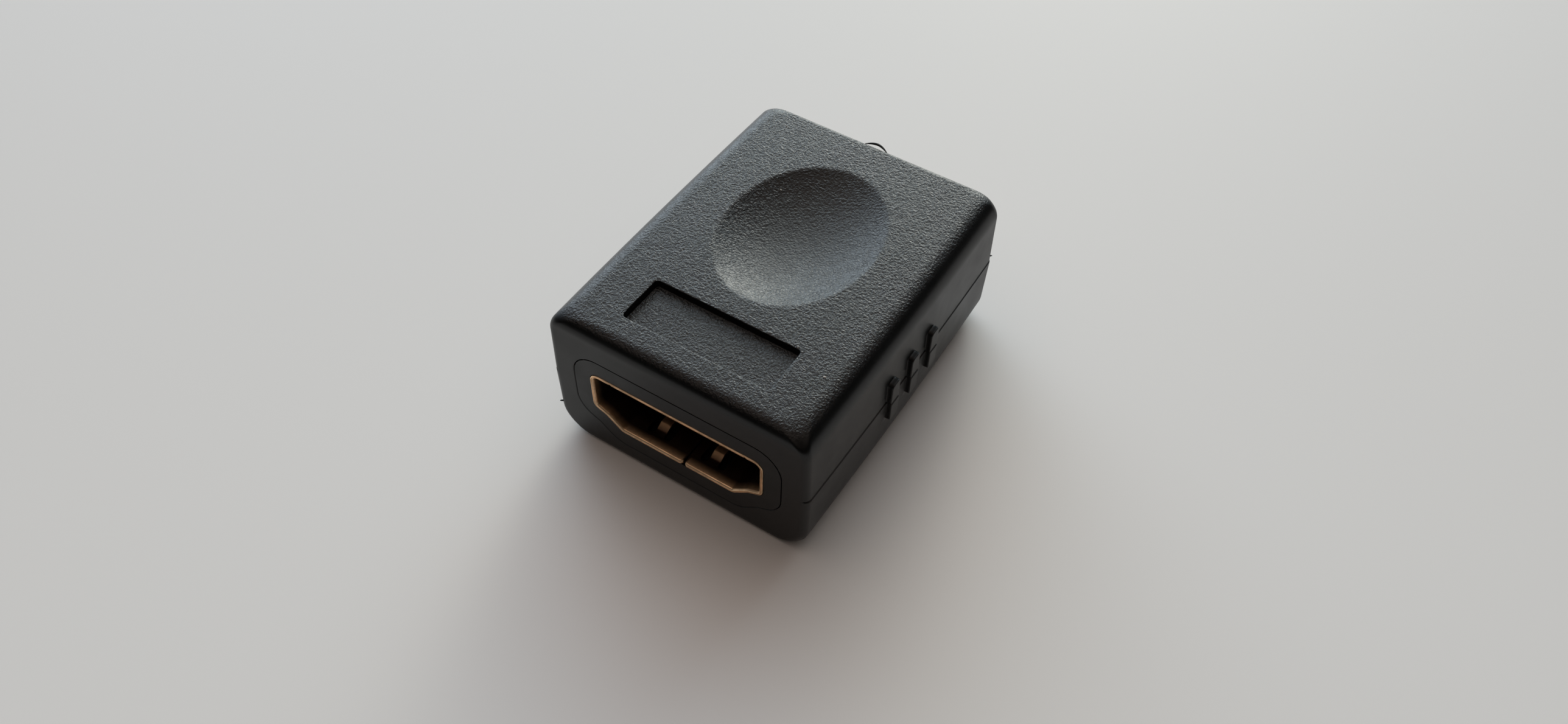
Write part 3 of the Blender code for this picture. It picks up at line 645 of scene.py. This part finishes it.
# %% [markdown]
# ## The folded shells
# Each socket is one strip of plated sheet, folded round the opening until its edges almost meet in the
# floor. The section of the sheet is carried along the folded path: its lip is broken outside and
# bevelled inside, with a fine groove between, so it shows fine lines. Each spring tab hangs in a window
# cut in the sheet, and only its root is joined. The rear shell is the front one, turned half round.

# %% The sheet's section and the path it follows
SHELL_DEPTH = 11.0 * MM
SHELL_PROUD = 0.06 * MM
LIP_BEVEL = 0.13 * MM
LIP_BREAK = 0.05 * MM
BEVEL_EASE = 0.2
LIP_GROOVE = (
    (0.215 * MM, 0.0), (0.205 * MM, 0.05 * MM), (0.175 * MM, 0.05 * MM), (0.165 * MM, 0.0),
)
SEAM_GAP = 0.14 * MM
SEAM_OFFSET = 0.55 * MM
SEAM_CORNER = 0.3 * MM
TAB_SPACING = 4.7 * MM
TAB_WIDTH = 0.85 * MM
SLOT_WIDTH = 0.62 * MM
TAB_ROOT = 0.9 * MM
TAB_FLAT = 0.5 * MM
TAB_RAMP = 0.6 * MM
TAB_RISE = 0.3 * MM
TAB_LENGTH = 4.2 * MM
TAB_COINING = 0.03 * MM
TAB_EASE = 0.05 * MM
SLOT_END = 0.5 * MM
WINDOW_MARGIN = 0.15 * MM
WINDOW_SIDE_MARGIN = 0.1 * MM
NICKS = (-5.5 * MM, 5.85 * MM)
NICK_WIDTH = 0.07 * MM
NICK_DEPTH = 0.05 * MM

window_reach = TAB_WIDTH / 2 + SLOT_WIDTH
window_rear = TAB_ROOT + TAB_LENGTH + SLOT_END
block_half = window_reach + WINDOW_SIDE_MARGIN
block_x = TAB_SPACING / 2 + np.array([-block_half, block_half])
block_depth = np.array([TAB_ROOT - WINDOW_MARGIN, window_rear + WINDOW_MARGIN])


def sheet_section():
    """(share of the thickness, depth, moves with the lip), from the outside round the lip inwards."""
    bend = np.linspace(0, math.pi / 2, 5)
    outer = [(1 - LIP_BREAK / SHEET * (1 - math.cos(a)), LIP_BREAK * (1 - math.sin(a)), 1) for a in bend]
    groove = [(place / SHEET, drop, 1) for place, drop in LIP_GROOVE]
    wide = LIP_BEVEL * (1 + BEVEL_EASE)
    narrow = LIP_BEVEL * (1 - BEVEL_EASE)
    slight = LIP_BEVEL * BEVEL_EASE / 2
    bevel = [
        (wide / SHEET, 0.0, 1), (narrow / SHEET, slight, 1), (slight / SHEET, narrow, 1), (0.0, wide, 1),
    ]
    outside = [(1.0, depth, 0) for depth in (SHELL_DEPTH, block_depth[1], block_depth[0])]
    inside = [(0.0, depth, 0) for depth in (block_depth[0], block_depth[1], SHELL_DEPTH)]
    return np.array(outside + outer + groove + bevel + inside)


def sheet_path(steps=10):
    """(inner x, inner z, outer x, outer z, lip's set-back) of each station, from seam edge to seam edge."""
    floor, top = -OPENING_HEIGHT / 2, OPENING_HEIGHT / 2
    inner = rounded(socket_corners(0.0), steps)
    outer = rounded(socket_corners(SHEET), steps)
    arcs = np.column_stack([inner, outer])
    half = len(arcs) // 2
    away = SEAM_CORNER * edge_steps(7)

    def straight(x, z, sheet):
        x = np.asarray(x)
        return np.column_stack([x, np.full(len(x), z), x, np.full(len(x), z + sheet)])

    nick = NICK_WIDTH * np.array([2.0, 1.0, 0.0, -1.0, -2.0])
    top_x = np.sort(np.concatenate([block_x, -block_x, *(place + nick for place in NICKS)]))[::-1]
    path = np.concatenate([
        straight(SEAM_OFFSET + SEAM_GAP / 2 + away, floor, -SHEET),
        straight(block_x, floor, -SHEET),
        arcs[:half],
        straight(top_x, top, SHEET),
        arcs[half:],
        straight(-block_x[::-1], floor, -SHEET),
        straight(SEAM_OFFSET - SEAM_GAP / 2 - away[::-1], floor, -SHEET),
    ])
    drop = np.zeros(len(path))
    set_back = SEAM_CORNER - np.sqrt(SEAM_CORNER**2 - (SEAM_CORNER - away) ** 2)
    drop[:len(away)] = set_back
    drop[-len(away):] = set_back[::-1]
    for place in NICKS:
        on_top = path[:, 1] > top - MERGE
        drop += on_top * NICK_DEPTH * np.exp(-((path[:, 0] - place) / NICK_WIDTH) ** 2)
    return np.column_stack([path, drop])


def window_outline():
    """(x, y) round a window from one side of the tab's root to the other, two slot ends first and last."""
    radius = SLOT_WIDTH / 2
    turn = np.linspace(1.08 * math.pi, 2 * math.pi, 13)
    right = np.column_stack([
        TAB_WIDTH / 2 + radius + radius * np.cos(turn), TAB_ROOT + radius + radius * np.sin(turn),
    ])
    corner = np.array([[window_reach, window_rear]])
    return np.concatenate([right, corner, corner * (-1, 1), right[::-1] * (-1, 1)])


# %% Build a shell
def tab_grid(wall, middle, root):
    """Sections of a tab from its root, between the slots' first points, to its free end.

    Each run is (depth, share of the tab's rise, half width).
    """
    ramp = TAB_ROOT + TAB_FLAT
    crest = ramp + TAB_RAMP
    half = TAB_WIDTH / 2
    runs = (
        (root[1], 0.0, root[0]),
        (ramp - TAB_EASE, 0.0, half),
        (ramp + TAB_EASE, 0.08, half),
        (crest - TAB_EASE, 0.92, half),
        (crest + TAB_EASE, 1.0, half),
        (crest + TAB_RAMP, 1.0, half),
        (TAB_ROOT + TAB_LENGTH, 0.5, half),
    )
    sections = []
    for number, (y, rise, reach) in enumerate(runs):
        coin = TAB_COINING * min(number, 1)
        face = wall * (OPENING_HEIGHT / 2 - rise * TAB_RISE + coin)
        back = wall * (OPENING_HEIGHT / 2 - rise * TAB_RISE + SHEET - coin)
        left, right = middle - reach, middle + reach
        sections.append([(left, y, face), (right, y, face), (right, y, back), (left, y, back)])
    return np.array(sections)


def shell_patches():
    """One shell in the socket's own frame: its mouth at Y = 0 and its middle at Z = 0."""
    section = sheet_section()
    path = sheet_path()
    share, depth, lip = section.T[:, None, :]
    x = path[:, 0:1] * (1 - share) + path[:, 2:3] * share
    z = path[:, 1:2] * (1 - share) + path[:, 3:4] * share
    y = depth + lip * (path[:, 4:5] - SHELL_PROUD)
    grid = np.stack([x, y + 0 * x, z], axis=-1)
    keep = np.ones(grid.shape[:2], bool)[:-1]
    patches = []
    outline = window_outline()
    count = len(section)
    bands = ((0.0, count - 3, count - 2), (1.0, 1, 2))
    for wall in (-1, 1):
        for middle in (-TAB_SPACING / 2, TAB_SPACING / 2):
            level = path[:, 1] * wall > OPENING_HEIGHT / 2 - MERGE
            on_wall = np.flatnonzero(level & (np.abs(path[:, 0] - middle) < block_half + MERGE))
            rows = (int(on_wall.min()), int(on_wall.max()))
            edges = []
            for side, first, last in bands:
                height = wall * (OPENING_HEIGHT / 2 + side * SHEET)
                spots = np.column_stack([outline + (middle, 0.0), np.full(len(outline), height)])
                edges.append(spots)
                keep[rows[0]:rows[1], first:last] = False
                block = block_loop(grid, rows, (first, last))
                centre = (middle, (TAB_ROOT + window_rear) / 2)
                patches.append(zip_patch(spots, block, (0, 1), centre, stretch=(1.0, 2.0)))
            patches.append(grid_patch(np.array(edges)))
            tab = tab_grid(wall, middle, outline[0])
            patches.append(grid_patch(tab, wrap=True))
            patches.append(fan_patch(tab[-1], tab[-1].mean(axis=0)))
    patches.append(grid_patch(grid, wrap=True, keep=keep))
    for end in (grid[0], grid[-1]):
        patches.append(fan_patch(end, end.mean(axis=0) * (1, 0, 1) + (0, SHELL_DEPTH / 2, 0)))
    return patches


def turned(patches, end):
    """The patches at the front (-1) or the rear (1) of the body."""
    place = np.array([1.0, 1.0, 1.0]) if end < 0 else np.array([-1.0, -1.0, 1.0])
    shift = np.array([0.0, -FRONT * end, SOCKET_MIDDLE])
    return [(points * place + shift, faces) for points, faces in patches]


shells = []
for end, word in ((-1, "front"), (1, "rear")):
    shell = join_patches(word + "_plated_shell", turned(shell_patches(), end), sharp_degrees=32)
    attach(shell, "root")
    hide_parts(word + "_shell")
    shells.append(shell)

# %% [markdown]
# ## Flash and dust
# Where parts of the mould met, a little plastic was squeezed out. Two short hairs of it stand on the
# front left and rear right corners, and a thin loop hangs at the rear edge of the top. Grains of pale
# dust lie on the top and in the dish.

# %% Hairs of flash as tapered bent tubes
# Each hair is (start, end, bow, radius) in millimetres.
HAIRS = (
    ((-1.2, 13.8, 12.54), (0.75, 13.8, 12.5), (0.0, 0.34, 0.1), 0.1),
    ((-10.5, -13.7, 2.5), (-10.79, -13.93, 2.58), (-0.03, 0.0, 0.04), 0.07),
    ((10.5, 13.55, 6.75), (10.85, 13.8, 6.8), (0.03, 0.0, 0.03), 0.07),
)


def hair_patches(spine, radius, sides=7):
    """A tube round a line of points: its radius tapers to both ends as the root of a sine."""
    spine = np.array(spine) * MM
    share = np.linspace(0, 1, len(spine))
    size = radius * np.sqrt(np.sin(math.pi * np.clip(share, 0.04, 0.96)))
    along = np.gradient(spine, axis=0)
    along /= np.linalg.norm(along, axis=1, keepdims=True)
    first = np.cross(along, (0.3, 0.2, 1.0))
    first /= np.linalg.norm(first, axis=1, keepdims=True)
    second = np.cross(along, first)
    turn = np.linspace(0, 2 * math.pi, sides, endpoint=False)[None, :, None]
    ring = first[:, None] * np.cos(turn) + second[:, None] * np.sin(turn)
    grid = spine[:, None] + ring * size[:, None, None]
    return [grid_patch(grid, wrap=True), fan_patch(grid[0], spine[0]), fan_patch(grid[-1], spine[-1])]


def bowed(start, end, bow, count=17):
    """Points from start to end, pushed out along bow by a half sine."""
    share = np.linspace(0, 1, count)[:, None]
    return np.array(start) * (1 - share) + np.array(end) * share + np.array(bow) * np.sin(math.pi * share)


flash = join_patches("mould_flash", [
    patch for *line, radius in HAIRS for patch in hair_patches(bowed(*line), radius * MM)
])
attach(flash, "root")

# %% Dust as small uneven pebbles
# Each grain is (x, y, size) in millimetres.
DUST = (
    (-4.03, 5.9, 0.08), (-7.4, 12.0, 0.05), (-7.7, 0.7, 0.05), (5.6, -7.1, 0.05), (-7.4, -9.6, 0.04),
    (7.6, -4.7, 0.045), (8.45, -8.35, 0.1),
)
PEBBLE_FLATNESS = 0.55


def dish_drop(x, y):
    """How deep the top lies at a place in the dish."""
    reach = min(np.hypot(x / DISH_HALF_WIDTH, (y - DISH_MIDDLE) / DISH_HALF_LENGTH), 1.0)
    return max(0.0, DISH_DEPTH - DISH_BALL + math.sqrt(DISH_BALL**2 - (reach * DISH_HALF_WIDTH) ** 2))


def pebble_patches(x, y, size, sides=9, rows=5):
    """Half a ball, flattened, whose radius wavers with the angle."""
    x, y, size = x * MM, y * MM, size * MM
    climb = np.linspace(-0.3, math.pi / 2 - 0.25, rows)[:, None]
    turn = np.linspace(0, 2 * math.pi, sides, endpoint=False)[None, :]
    waver = 1 + 0.25 * np.sin(2 * turn + 900 * x) + 0.15 * np.sin(3 * turn + 700 * y)
    level = HEIGHT - dish_drop(x, y)
    tall = PEBBLE_FLATNESS * size
    grid = np.stack([
        x + size * waver * np.cos(climb) * np.cos(turn),
        y + size * waver * np.cos(climb) * np.sin(turn),
        level + tall * np.sin(climb) * np.ones_like(turn),
    ], axis=-1)
    peak = (x, y, level + tall)
    base = (x, y, grid[0, 0, 2])
    return [grid_patch(grid, wrap=True), fan_patch(grid[-1], peak), fan_patch(grid[0], base)]


dust = join_patches("dust_grains", [patch for grain in DUST for patch in pebble_patches(*grain)])
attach(dust, "root")

# %% [markdown]
# ## Finishes
# Every finish is worked out in the shader from Object coordinates, which are metres here. The grain on
# the top was eroded into the mould: round worms about a sixth of a millimetre wide. A value on each
# point says how much grain there is, because the sides are only satin. A noise's Scale is the number of
# its cells in a metre.

# %% Small helpers for shader nodes
def node_adder(tree):
    """A helper that adds a node to this tree, with its settings, its input values and its links."""
    def add(kind, inputs=None, **settings):
        node = tree.nodes.new(kind)
        for key, value in settings.items():
            setattr(node, key, value)
        for key, value in (inputs or {}).items():
            if isinstance(value, bpy.types.NodeSocket):
                tree.links.new(value, node.inputs[key])
            else:
                node.inputs[key].default_value = value
        return node

    return add


def new_finish(name):
    """A material, its Principled shader, and the helpers that add its nodes and links."""
    made = bpy.data.materials.new(name)
    made.use_nodes = True
    tree = made.node_tree
    return made, tree.nodes["Principled BSDF"], node_adder(tree), tree.links


def ramp_between(add, value, low, high, start=0.0, end=1.0):
    """The value mapped from low..high to start..end, held at both ends."""
    return add("ShaderNodeMapRange", {0: value, 1: low, 2: high, 3: start, 4: end}, clamp=True).outputs[0]


def noise(add, place, **inputs):
    """A noise at these coordinates, from 0 to 1."""
    return add("ShaderNodeTexNoise", {"Vector": place, **inputs}).outputs["Fac"]


def bump(add, height, strength, distance, **more):
    """The normal of a bumpy surface. Normal, if given, is that of the surface below."""
    inputs = {"Strength": strength, "Distance": distance, "Height": height, **more}
    return add("ShaderNodeBump", inputs).outputs[0]


def blend(add, share, first, second):
    """The first colour where the share is 0, the second where it is 1."""
    return add("ShaderNodeMix", {0: share, 6: first, 7: second}, data_type="RGBA").outputs[2]


# %% Write shares on the points: the body's grain and polish, and the painted shade on the shells' walls
GRAIN_END = 0.5 * MM
GRAIN_FADE = 0.45 * MM
GRAIN_ROOM = (7 * MM, 12 * MM, 1.45 * MM)
POLISH_END = 1.8 * MM
POLISH_FADE = 1.7 * MM
# Past this depth behind the lip, the shells' walls get painted shade.
UNSHADED_LIP = 0.1 * MM
BELOW_WALL = 0.02 * MM


def write_share(obj, name, rule):
    """A value for each point: the rule is given the points' x, y and z."""
    mesh = obj.data
    place = np.empty(len(mesh.vertices) * 3, np.float32)
    mesh.vertices.foreach_get("co", place)
    layer = mesh.attributes.new(name, "FLOAT", "POINT")
    layer.data.foreach_set("value", rule(*place.reshape(-1, 3).T).astype(np.float32))


def grain_rule(x, y, z):
    """1 on the top, in the dish and in the recess; it fades down the round edges and is 0 on the sides."""
    half_width, half_length, deep = GRAIN_ROOM
    share = smooth((z - (HEIGHT - GRAIN_END)) / GRAIN_FADE)
    inside = (np.abs(x) < half_width) & (np.abs(y) < half_length) & (z > HEIGHT - deep)
    return np.where(inside, 1.0, share)


def unshaded_rule(x, y, z):
    """1 at the lip and on the tabs, which stand inside the walls; 0 on the walls, which get painted shade.
    """
    depth = -FRONT - np.abs(y)
    lip = 1 - smooth((depth - UNSHADED_LIP) / UNSHADED_LIP)
    inside = np.abs(z - SOCKET_MIDDLE) < OPENING_HEIGHT / 2 - BELOW_WALL
    tab = inside & (np.abs(x) < TAB_SPACING) & (depth > TAB_ROOT)
    return np.where(tab, 1.0, lip)


def polish_rule(x, y, z):
    """1 on the top and its round edges, 0 on the walls, which are duller."""
    return smooth((z - (HEIGHT - POLISH_END)) / POLISH_FADE)


write_share(outer_body, "grain", grain_rule)
write_share(outer_body, "polish", polish_rule)
# On the shells, a share of 0 marks the walls that get painted shade.
for shell in shells:
    write_share(shell, "unshaded_share", unshaded_rule)
print("points with shares:", [len(obj.data.vertices) for obj in (outer_body, *shells)])

# %% The black plastic of the outer body
WORMS = {"Scale": 5800.0, "Detail": 2.0, "Roughness": 0.45, "Distortion": 0.6}
SWELL = {"Scale": 1500.0, "Detail": 1.0}
PORES = {"Scale": 14000.0, "Detail": 2.0}
WAVES = {"Scale": 260.0, "Detail": 2.0}
CLOUDS = {"Scale": 420.0, "Detail": 4.0}
BODY_DARK = (0.0028, 0.0031, 0.0034, 1)
BODY_PALE = (0.0050, 0.0055, 0.0058, 1)
SATIN = (0.36, 0.43)
POLISHED = 0.28
BODY_IOR = 1.42


def black_plastic():
    """Black, faintly blue. The bump is grain on top, and slow waves with fine pores on the sides."""
    made, shader, add, links = new_finish("black moulded plastic")
    place = add("ShaderNodeTexCoord").outputs["Object"]
    grain = add("ShaderNodeAttribute", attribute_name="grain").outputs["Fac"]
    polish = add("ShaderNodeAttribute", attribute_name="polish").outputs["Fac"]
    crests = ramp_between(add, noise(add, place, **WORMS), 0.34, 0.66)
    swell = ramp_between(add, noise(add, place, **SWELL), 0.3, 0.7, 0.7, 1.3)
    height = add("ShaderNodeMath", {0: crests, 1: swell}, operation="MULTIPLY").outputs[0]
    top = add("ShaderNodeMath", {0: height, 1: grain}, operation="MULTIPLY").outputs[0]
    normal = bump(add, noise(add, place, **PORES), 0.25, 0.004 * MM)
    normal = bump(add, noise(add, place, **WAVES), 0.3, 0.05 * MM, Normal=normal)
    normal = bump(add, top, 0.85, 0.03 * MM, Normal=normal)
    links.new(normal, shader.inputs["Normal"])
    cloud = noise(add, place, **CLOUDS)
    tint = blend(add, ramp_between(add, cloud, 0.35, 0.7), BODY_DARK, BODY_PALE)
    links.new(tint, shader.inputs["Base Color"])
    satin = ramp_between(add, cloud, 0.3, 0.7, *SATIN)
    rough = add("ShaderNodeMix", {0: polish, 2: satin, 3: POLISHED}).outputs[0]
    links.new(rough, shader.inputs["Roughness"])
    shader.inputs["IOR"].default_value = BODY_IOR
    return made


plastic = black_plastic()
for piece in (outer_body, flash):
    piece.data.materials.append(plastic)
print("finish:", plastic.name)

# %% The inner mould, the insulators and the board
FAINT_CLOUDS = {"Scale": 500.0, "Detail": 3.0}
ROUGHNESS_SPREAD = 0.05
PLAIN_IOR = 1.40


def scaled(colour, level):
    """The colour made darker or lighter, with a full alpha."""
    return (*(part * level for part in colour), 1)


def plain_plastic(name, colour, roughness, pore_size, depth):
    """Moulded plastic with fine pores."""
    made, shader, add, links = new_finish(name)
    place = add("ShaderNodeTexCoord").outputs["Object"]
    pores = noise(add, place, Scale=1 / pore_size, Detail=3.0)
    cloud = noise(add, place, **FAINT_CLOUDS)
    links.new(bump(add, pores, 0.4, depth), shader.inputs["Normal"])
    links.new(blend(add, cloud, scaled(colour, 0.8), scaled(colour, 1.2)), shader.inputs["Base Color"])
    ends = (roughness - ROUGHNESS_SPREAD, roughness + ROUGHNESS_SPREAD)
    links.new(ramp_between(add, cloud, 0.3, 0.7, *ends), shader.inputs["Roughness"])
    shader.inputs["IOR"].default_value = PLAIN_IOR
    return made


def give(nodes, finish):
    """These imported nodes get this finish."""
    for node in nodes:
        for slot in frame["nodes"][node].material_slots:
            slot.material = finish


inner_black = plain_plastic("inner mould plastic", (0.0030, 0.0033, 0.0036), 0.42, 0.06 * MM, 0.006 * MM)
insulator_black = plain_plastic("insulator plastic", (0.012, 0.012, 0.012), 0.45, 0.08 * MM, 0.004 * MM)
board_green = plain_plastic("board varnish", (0.02, 0.12, 0.05), 0.35, 0.1 * MM, 0.003 * MM)
give(["inner_mould"], inner_black)
give(["front_insulator", "rear_insulator"], insulator_black)
give(["circuit_board"], board_green)
print("finishes:", [finish.name for finish in (inner_black, insulator_black, board_green)])

# %% Thin gold over steel
DENTS = {"Scale": 3200.0, "Detail": 3.0}
STAINS = {"Scale": 1100.0, "Detail": 4.0}
DULLED = 0.72
DULL_ROUGHER = 0.1


def gold_plating(name, colour, roughness, painted_shade=None):
    """Warm gold. Stamping has left fine dents in it, and the plating is dull in places.

    The last argument is painted shade: a dark colour for the walls inside the socket, where the share is 0.
    """
    made, shader, add, links = new_finish(name)
    place = add("ShaderNodeTexCoord").outputs["Object"]
    stains = noise(add, place, **STAINS)
    links.new(bump(add, noise(add, place, **DENTS), 0.35, 0.012 * MM), shader.inputs["Normal"])
    tint = blend(add, ramp_between(add, stains, 0.42, 0.6), scaled(colour, DULLED), (*colour, 1))
    # Painted shade: the walls inside the socket are darkened where the share on the points is 0.
    if painted_shade:
        unshaded_share = add("ShaderNodeAttribute", attribute_name="unshaded_share").outputs["Fac"]
        tint = blend(add, unshaded_share, (*painted_shade, 1), tint)
    links.new(tint, shader.inputs["Base Color"])
    rough = ramp_between(add, stains, 0.35, 0.65, roughness + DULL_ROUGHER, roughness)
    links.new(rough, shader.inputs["Roughness"])
    shader.inputs["Metallic"].default_value = 1.0
    return made


# The last colour is painted shade, laid on the shells' inner walls.
shell_gold = gold_plating("shell gold plating", (1.0, 0.70, 0.44), 0.36, (0.09, 0.055, 0.038))
contact_gold = gold_plating("contact gold plating", (0.82, 0.55, 0.30), 0.25)
for shell in shells:
    shell.data.materials.append(shell_gold)
contacts = [name for name in frame["nodes"] if "_contact_" in name]
give(contacts, contact_gold)
print("gold contacts:", len(contacts))

# %% Pale dust
SPECKLE_SCALE = 9000.0
DUST_DARK = (0.42, 0.40, 0.37, 1)
DUST_PALE = (0.7, 0.68, 0.64, 1)

dust_white, shader, add, links = new_finish("pale dust")
speckle = noise(add, add("ShaderNodeTexCoord").outputs["Object"], Scale=SPECKLE_SCALE)
links.new(blend(add, speckle, DUST_DARK, DUST_PALE), shader.inputs["Base Color"])
shader.inputs["Roughness"].default_value = 0.8
dust.data.materials.append(dust_white)
print("finish:", dust_white.name)

# %% [markdown]
# ## Floor and light
# The coupler lies on a plain pale surface. The light is soft and comes from low behind it on the left,
# like a wide window. So the dish shines on its front slope, the left edge shines, and the edges that
# face the camera stay dark. The ceiling is warm. The camera and the person behind it keep a part of its
# light away, which is the shade.
#
# A window is (bearing, climb, spread, level, colour). The bearing is in degrees anticlockwise from +X
# and the climb in degrees above the floor. The spread, in degrees, says how soft it is. The shade is
# written alike, with a negative level, because it takes light away.

# %% The floor
FLOOR_HALF_SIZE = 1.5
corner = FLOOR_HALF_SIZE * np.array([(-1, -1, 0), (1, -1, 0), (1, 1, 0), (-1, 1, 0)], float)
floor_mesh = bpy.data.meshes.new("floor")
floor_mesh.from_pydata(corner.tolist(), [], [(0, 1, 2, 3)])
floor = bpy.data.objects.new("floor", floor_mesh)
bpy.context.collection.objects.link(floor)
pale, shader, *_ = new_finish("pale surface")
shader.inputs["Base Color"].default_value = (0.91, 0.90, 0.88, 1)
shader.inputs["Roughness"].default_value = 0.55
floor.data.materials.append(pale)
print("floor's half size in m:", FLOOR_HALF_SIZE)

# %% The room: dim walls, a warm ceiling, its shade and soft windows
CEILING_STARTS = 0.5
CEILING_COLOUR = (0.86, 0.70, 0.61)
ROOM_LEVEL = 0.015
WINDOWS = (
    (106.0, 15.0, 7.0, 9.6, (1.07, 1.04, 0.92)),
    (92.0, 28.0, 9.0, 2.3, (0.83, 1.01, 1.15)),
    (145.0, 18.0, 15.0, 2.6, (0.87, 0.98, 1.15)),
    (123.0, 14.0, 20.0, 2.4, (0.88, 1.05, 1.08)),
)
SHADE = (-35.0, 62.0, 24.0, -0.92, (1.0, 1.0, 1.0))
world = bpy.data.worlds.new("room")
bpy.context.scene.world = world
world.use_nodes = True
room = world.node_tree
room_node = node_adder(room)


def scalar_math(operation, inputs):
    """A number worked out in the room's nodes."""
    return room_node("ShaderNodeMath", inputs, operation=operation).outputs[0]


def vector_math(operation, inputs, output=0):
    """A vector or a colour worked out in the room's nodes."""
    return room_node("ShaderNodeVectorMath", inputs, operation=operation).outputs[output]


def window_light(direction, bearing, climb, spread, level, colour):
    """Colour of a soft window: the level times e to the power of (cosine - 1) over the spread squared.

    The cosine is that of the angle between the direction and the window's middle.
    """
    bearing, climb = math.radians(bearing), math.radians(climb)
    middle = (math.cos(climb) * math.cos(bearing), math.cos(climb) * math.sin(bearing), math.sin(climb))
    cosine = vector_math("DOT_PRODUCT", {0: direction, 1: middle}, "Value")
    narrow = 1 / math.radians(spread) ** 2
    share = scalar_math("EXPONENT", {0: scalar_math("MULTIPLY_ADD", {0: cosine, 1: narrow, 2: -narrow})})
    bright = tuple(level * part for part in colour)
    return vector_math("SCALE", {0: bright, "Scale": share})


direction = room_node("ShaderNodeTexCoord").outputs["Generated"]
rise = {0: room_node("ShaderNodeSeparateXYZ", {0: direction}).outputs[2], 1: CEILING_STARTS, 2: 1.0}
ceiling = room_node("ShaderNodeMapRange", {**rise, 3: ROOM_LEVEL, 4: 1.0}, interpolation_type="SMOOTHSTEP")
light = vector_math("SCALE", {0: CEILING_COLOUR, "Scale": ceiling.outputs[0]})
light = vector_math("MULTIPLY_ADD", {0: light, 1: window_light(direction, *SHADE), 2: light})
for window in WINDOWS:
    light = vector_math("ADD", {0: light, 1: window_light(direction, *window)})
room.links.new(light, room.nodes["Background"].inputs["Color"])
bpy.context.scene.view_settings.view_transform = "Standard"
print("windows:", len(WINDOWS))
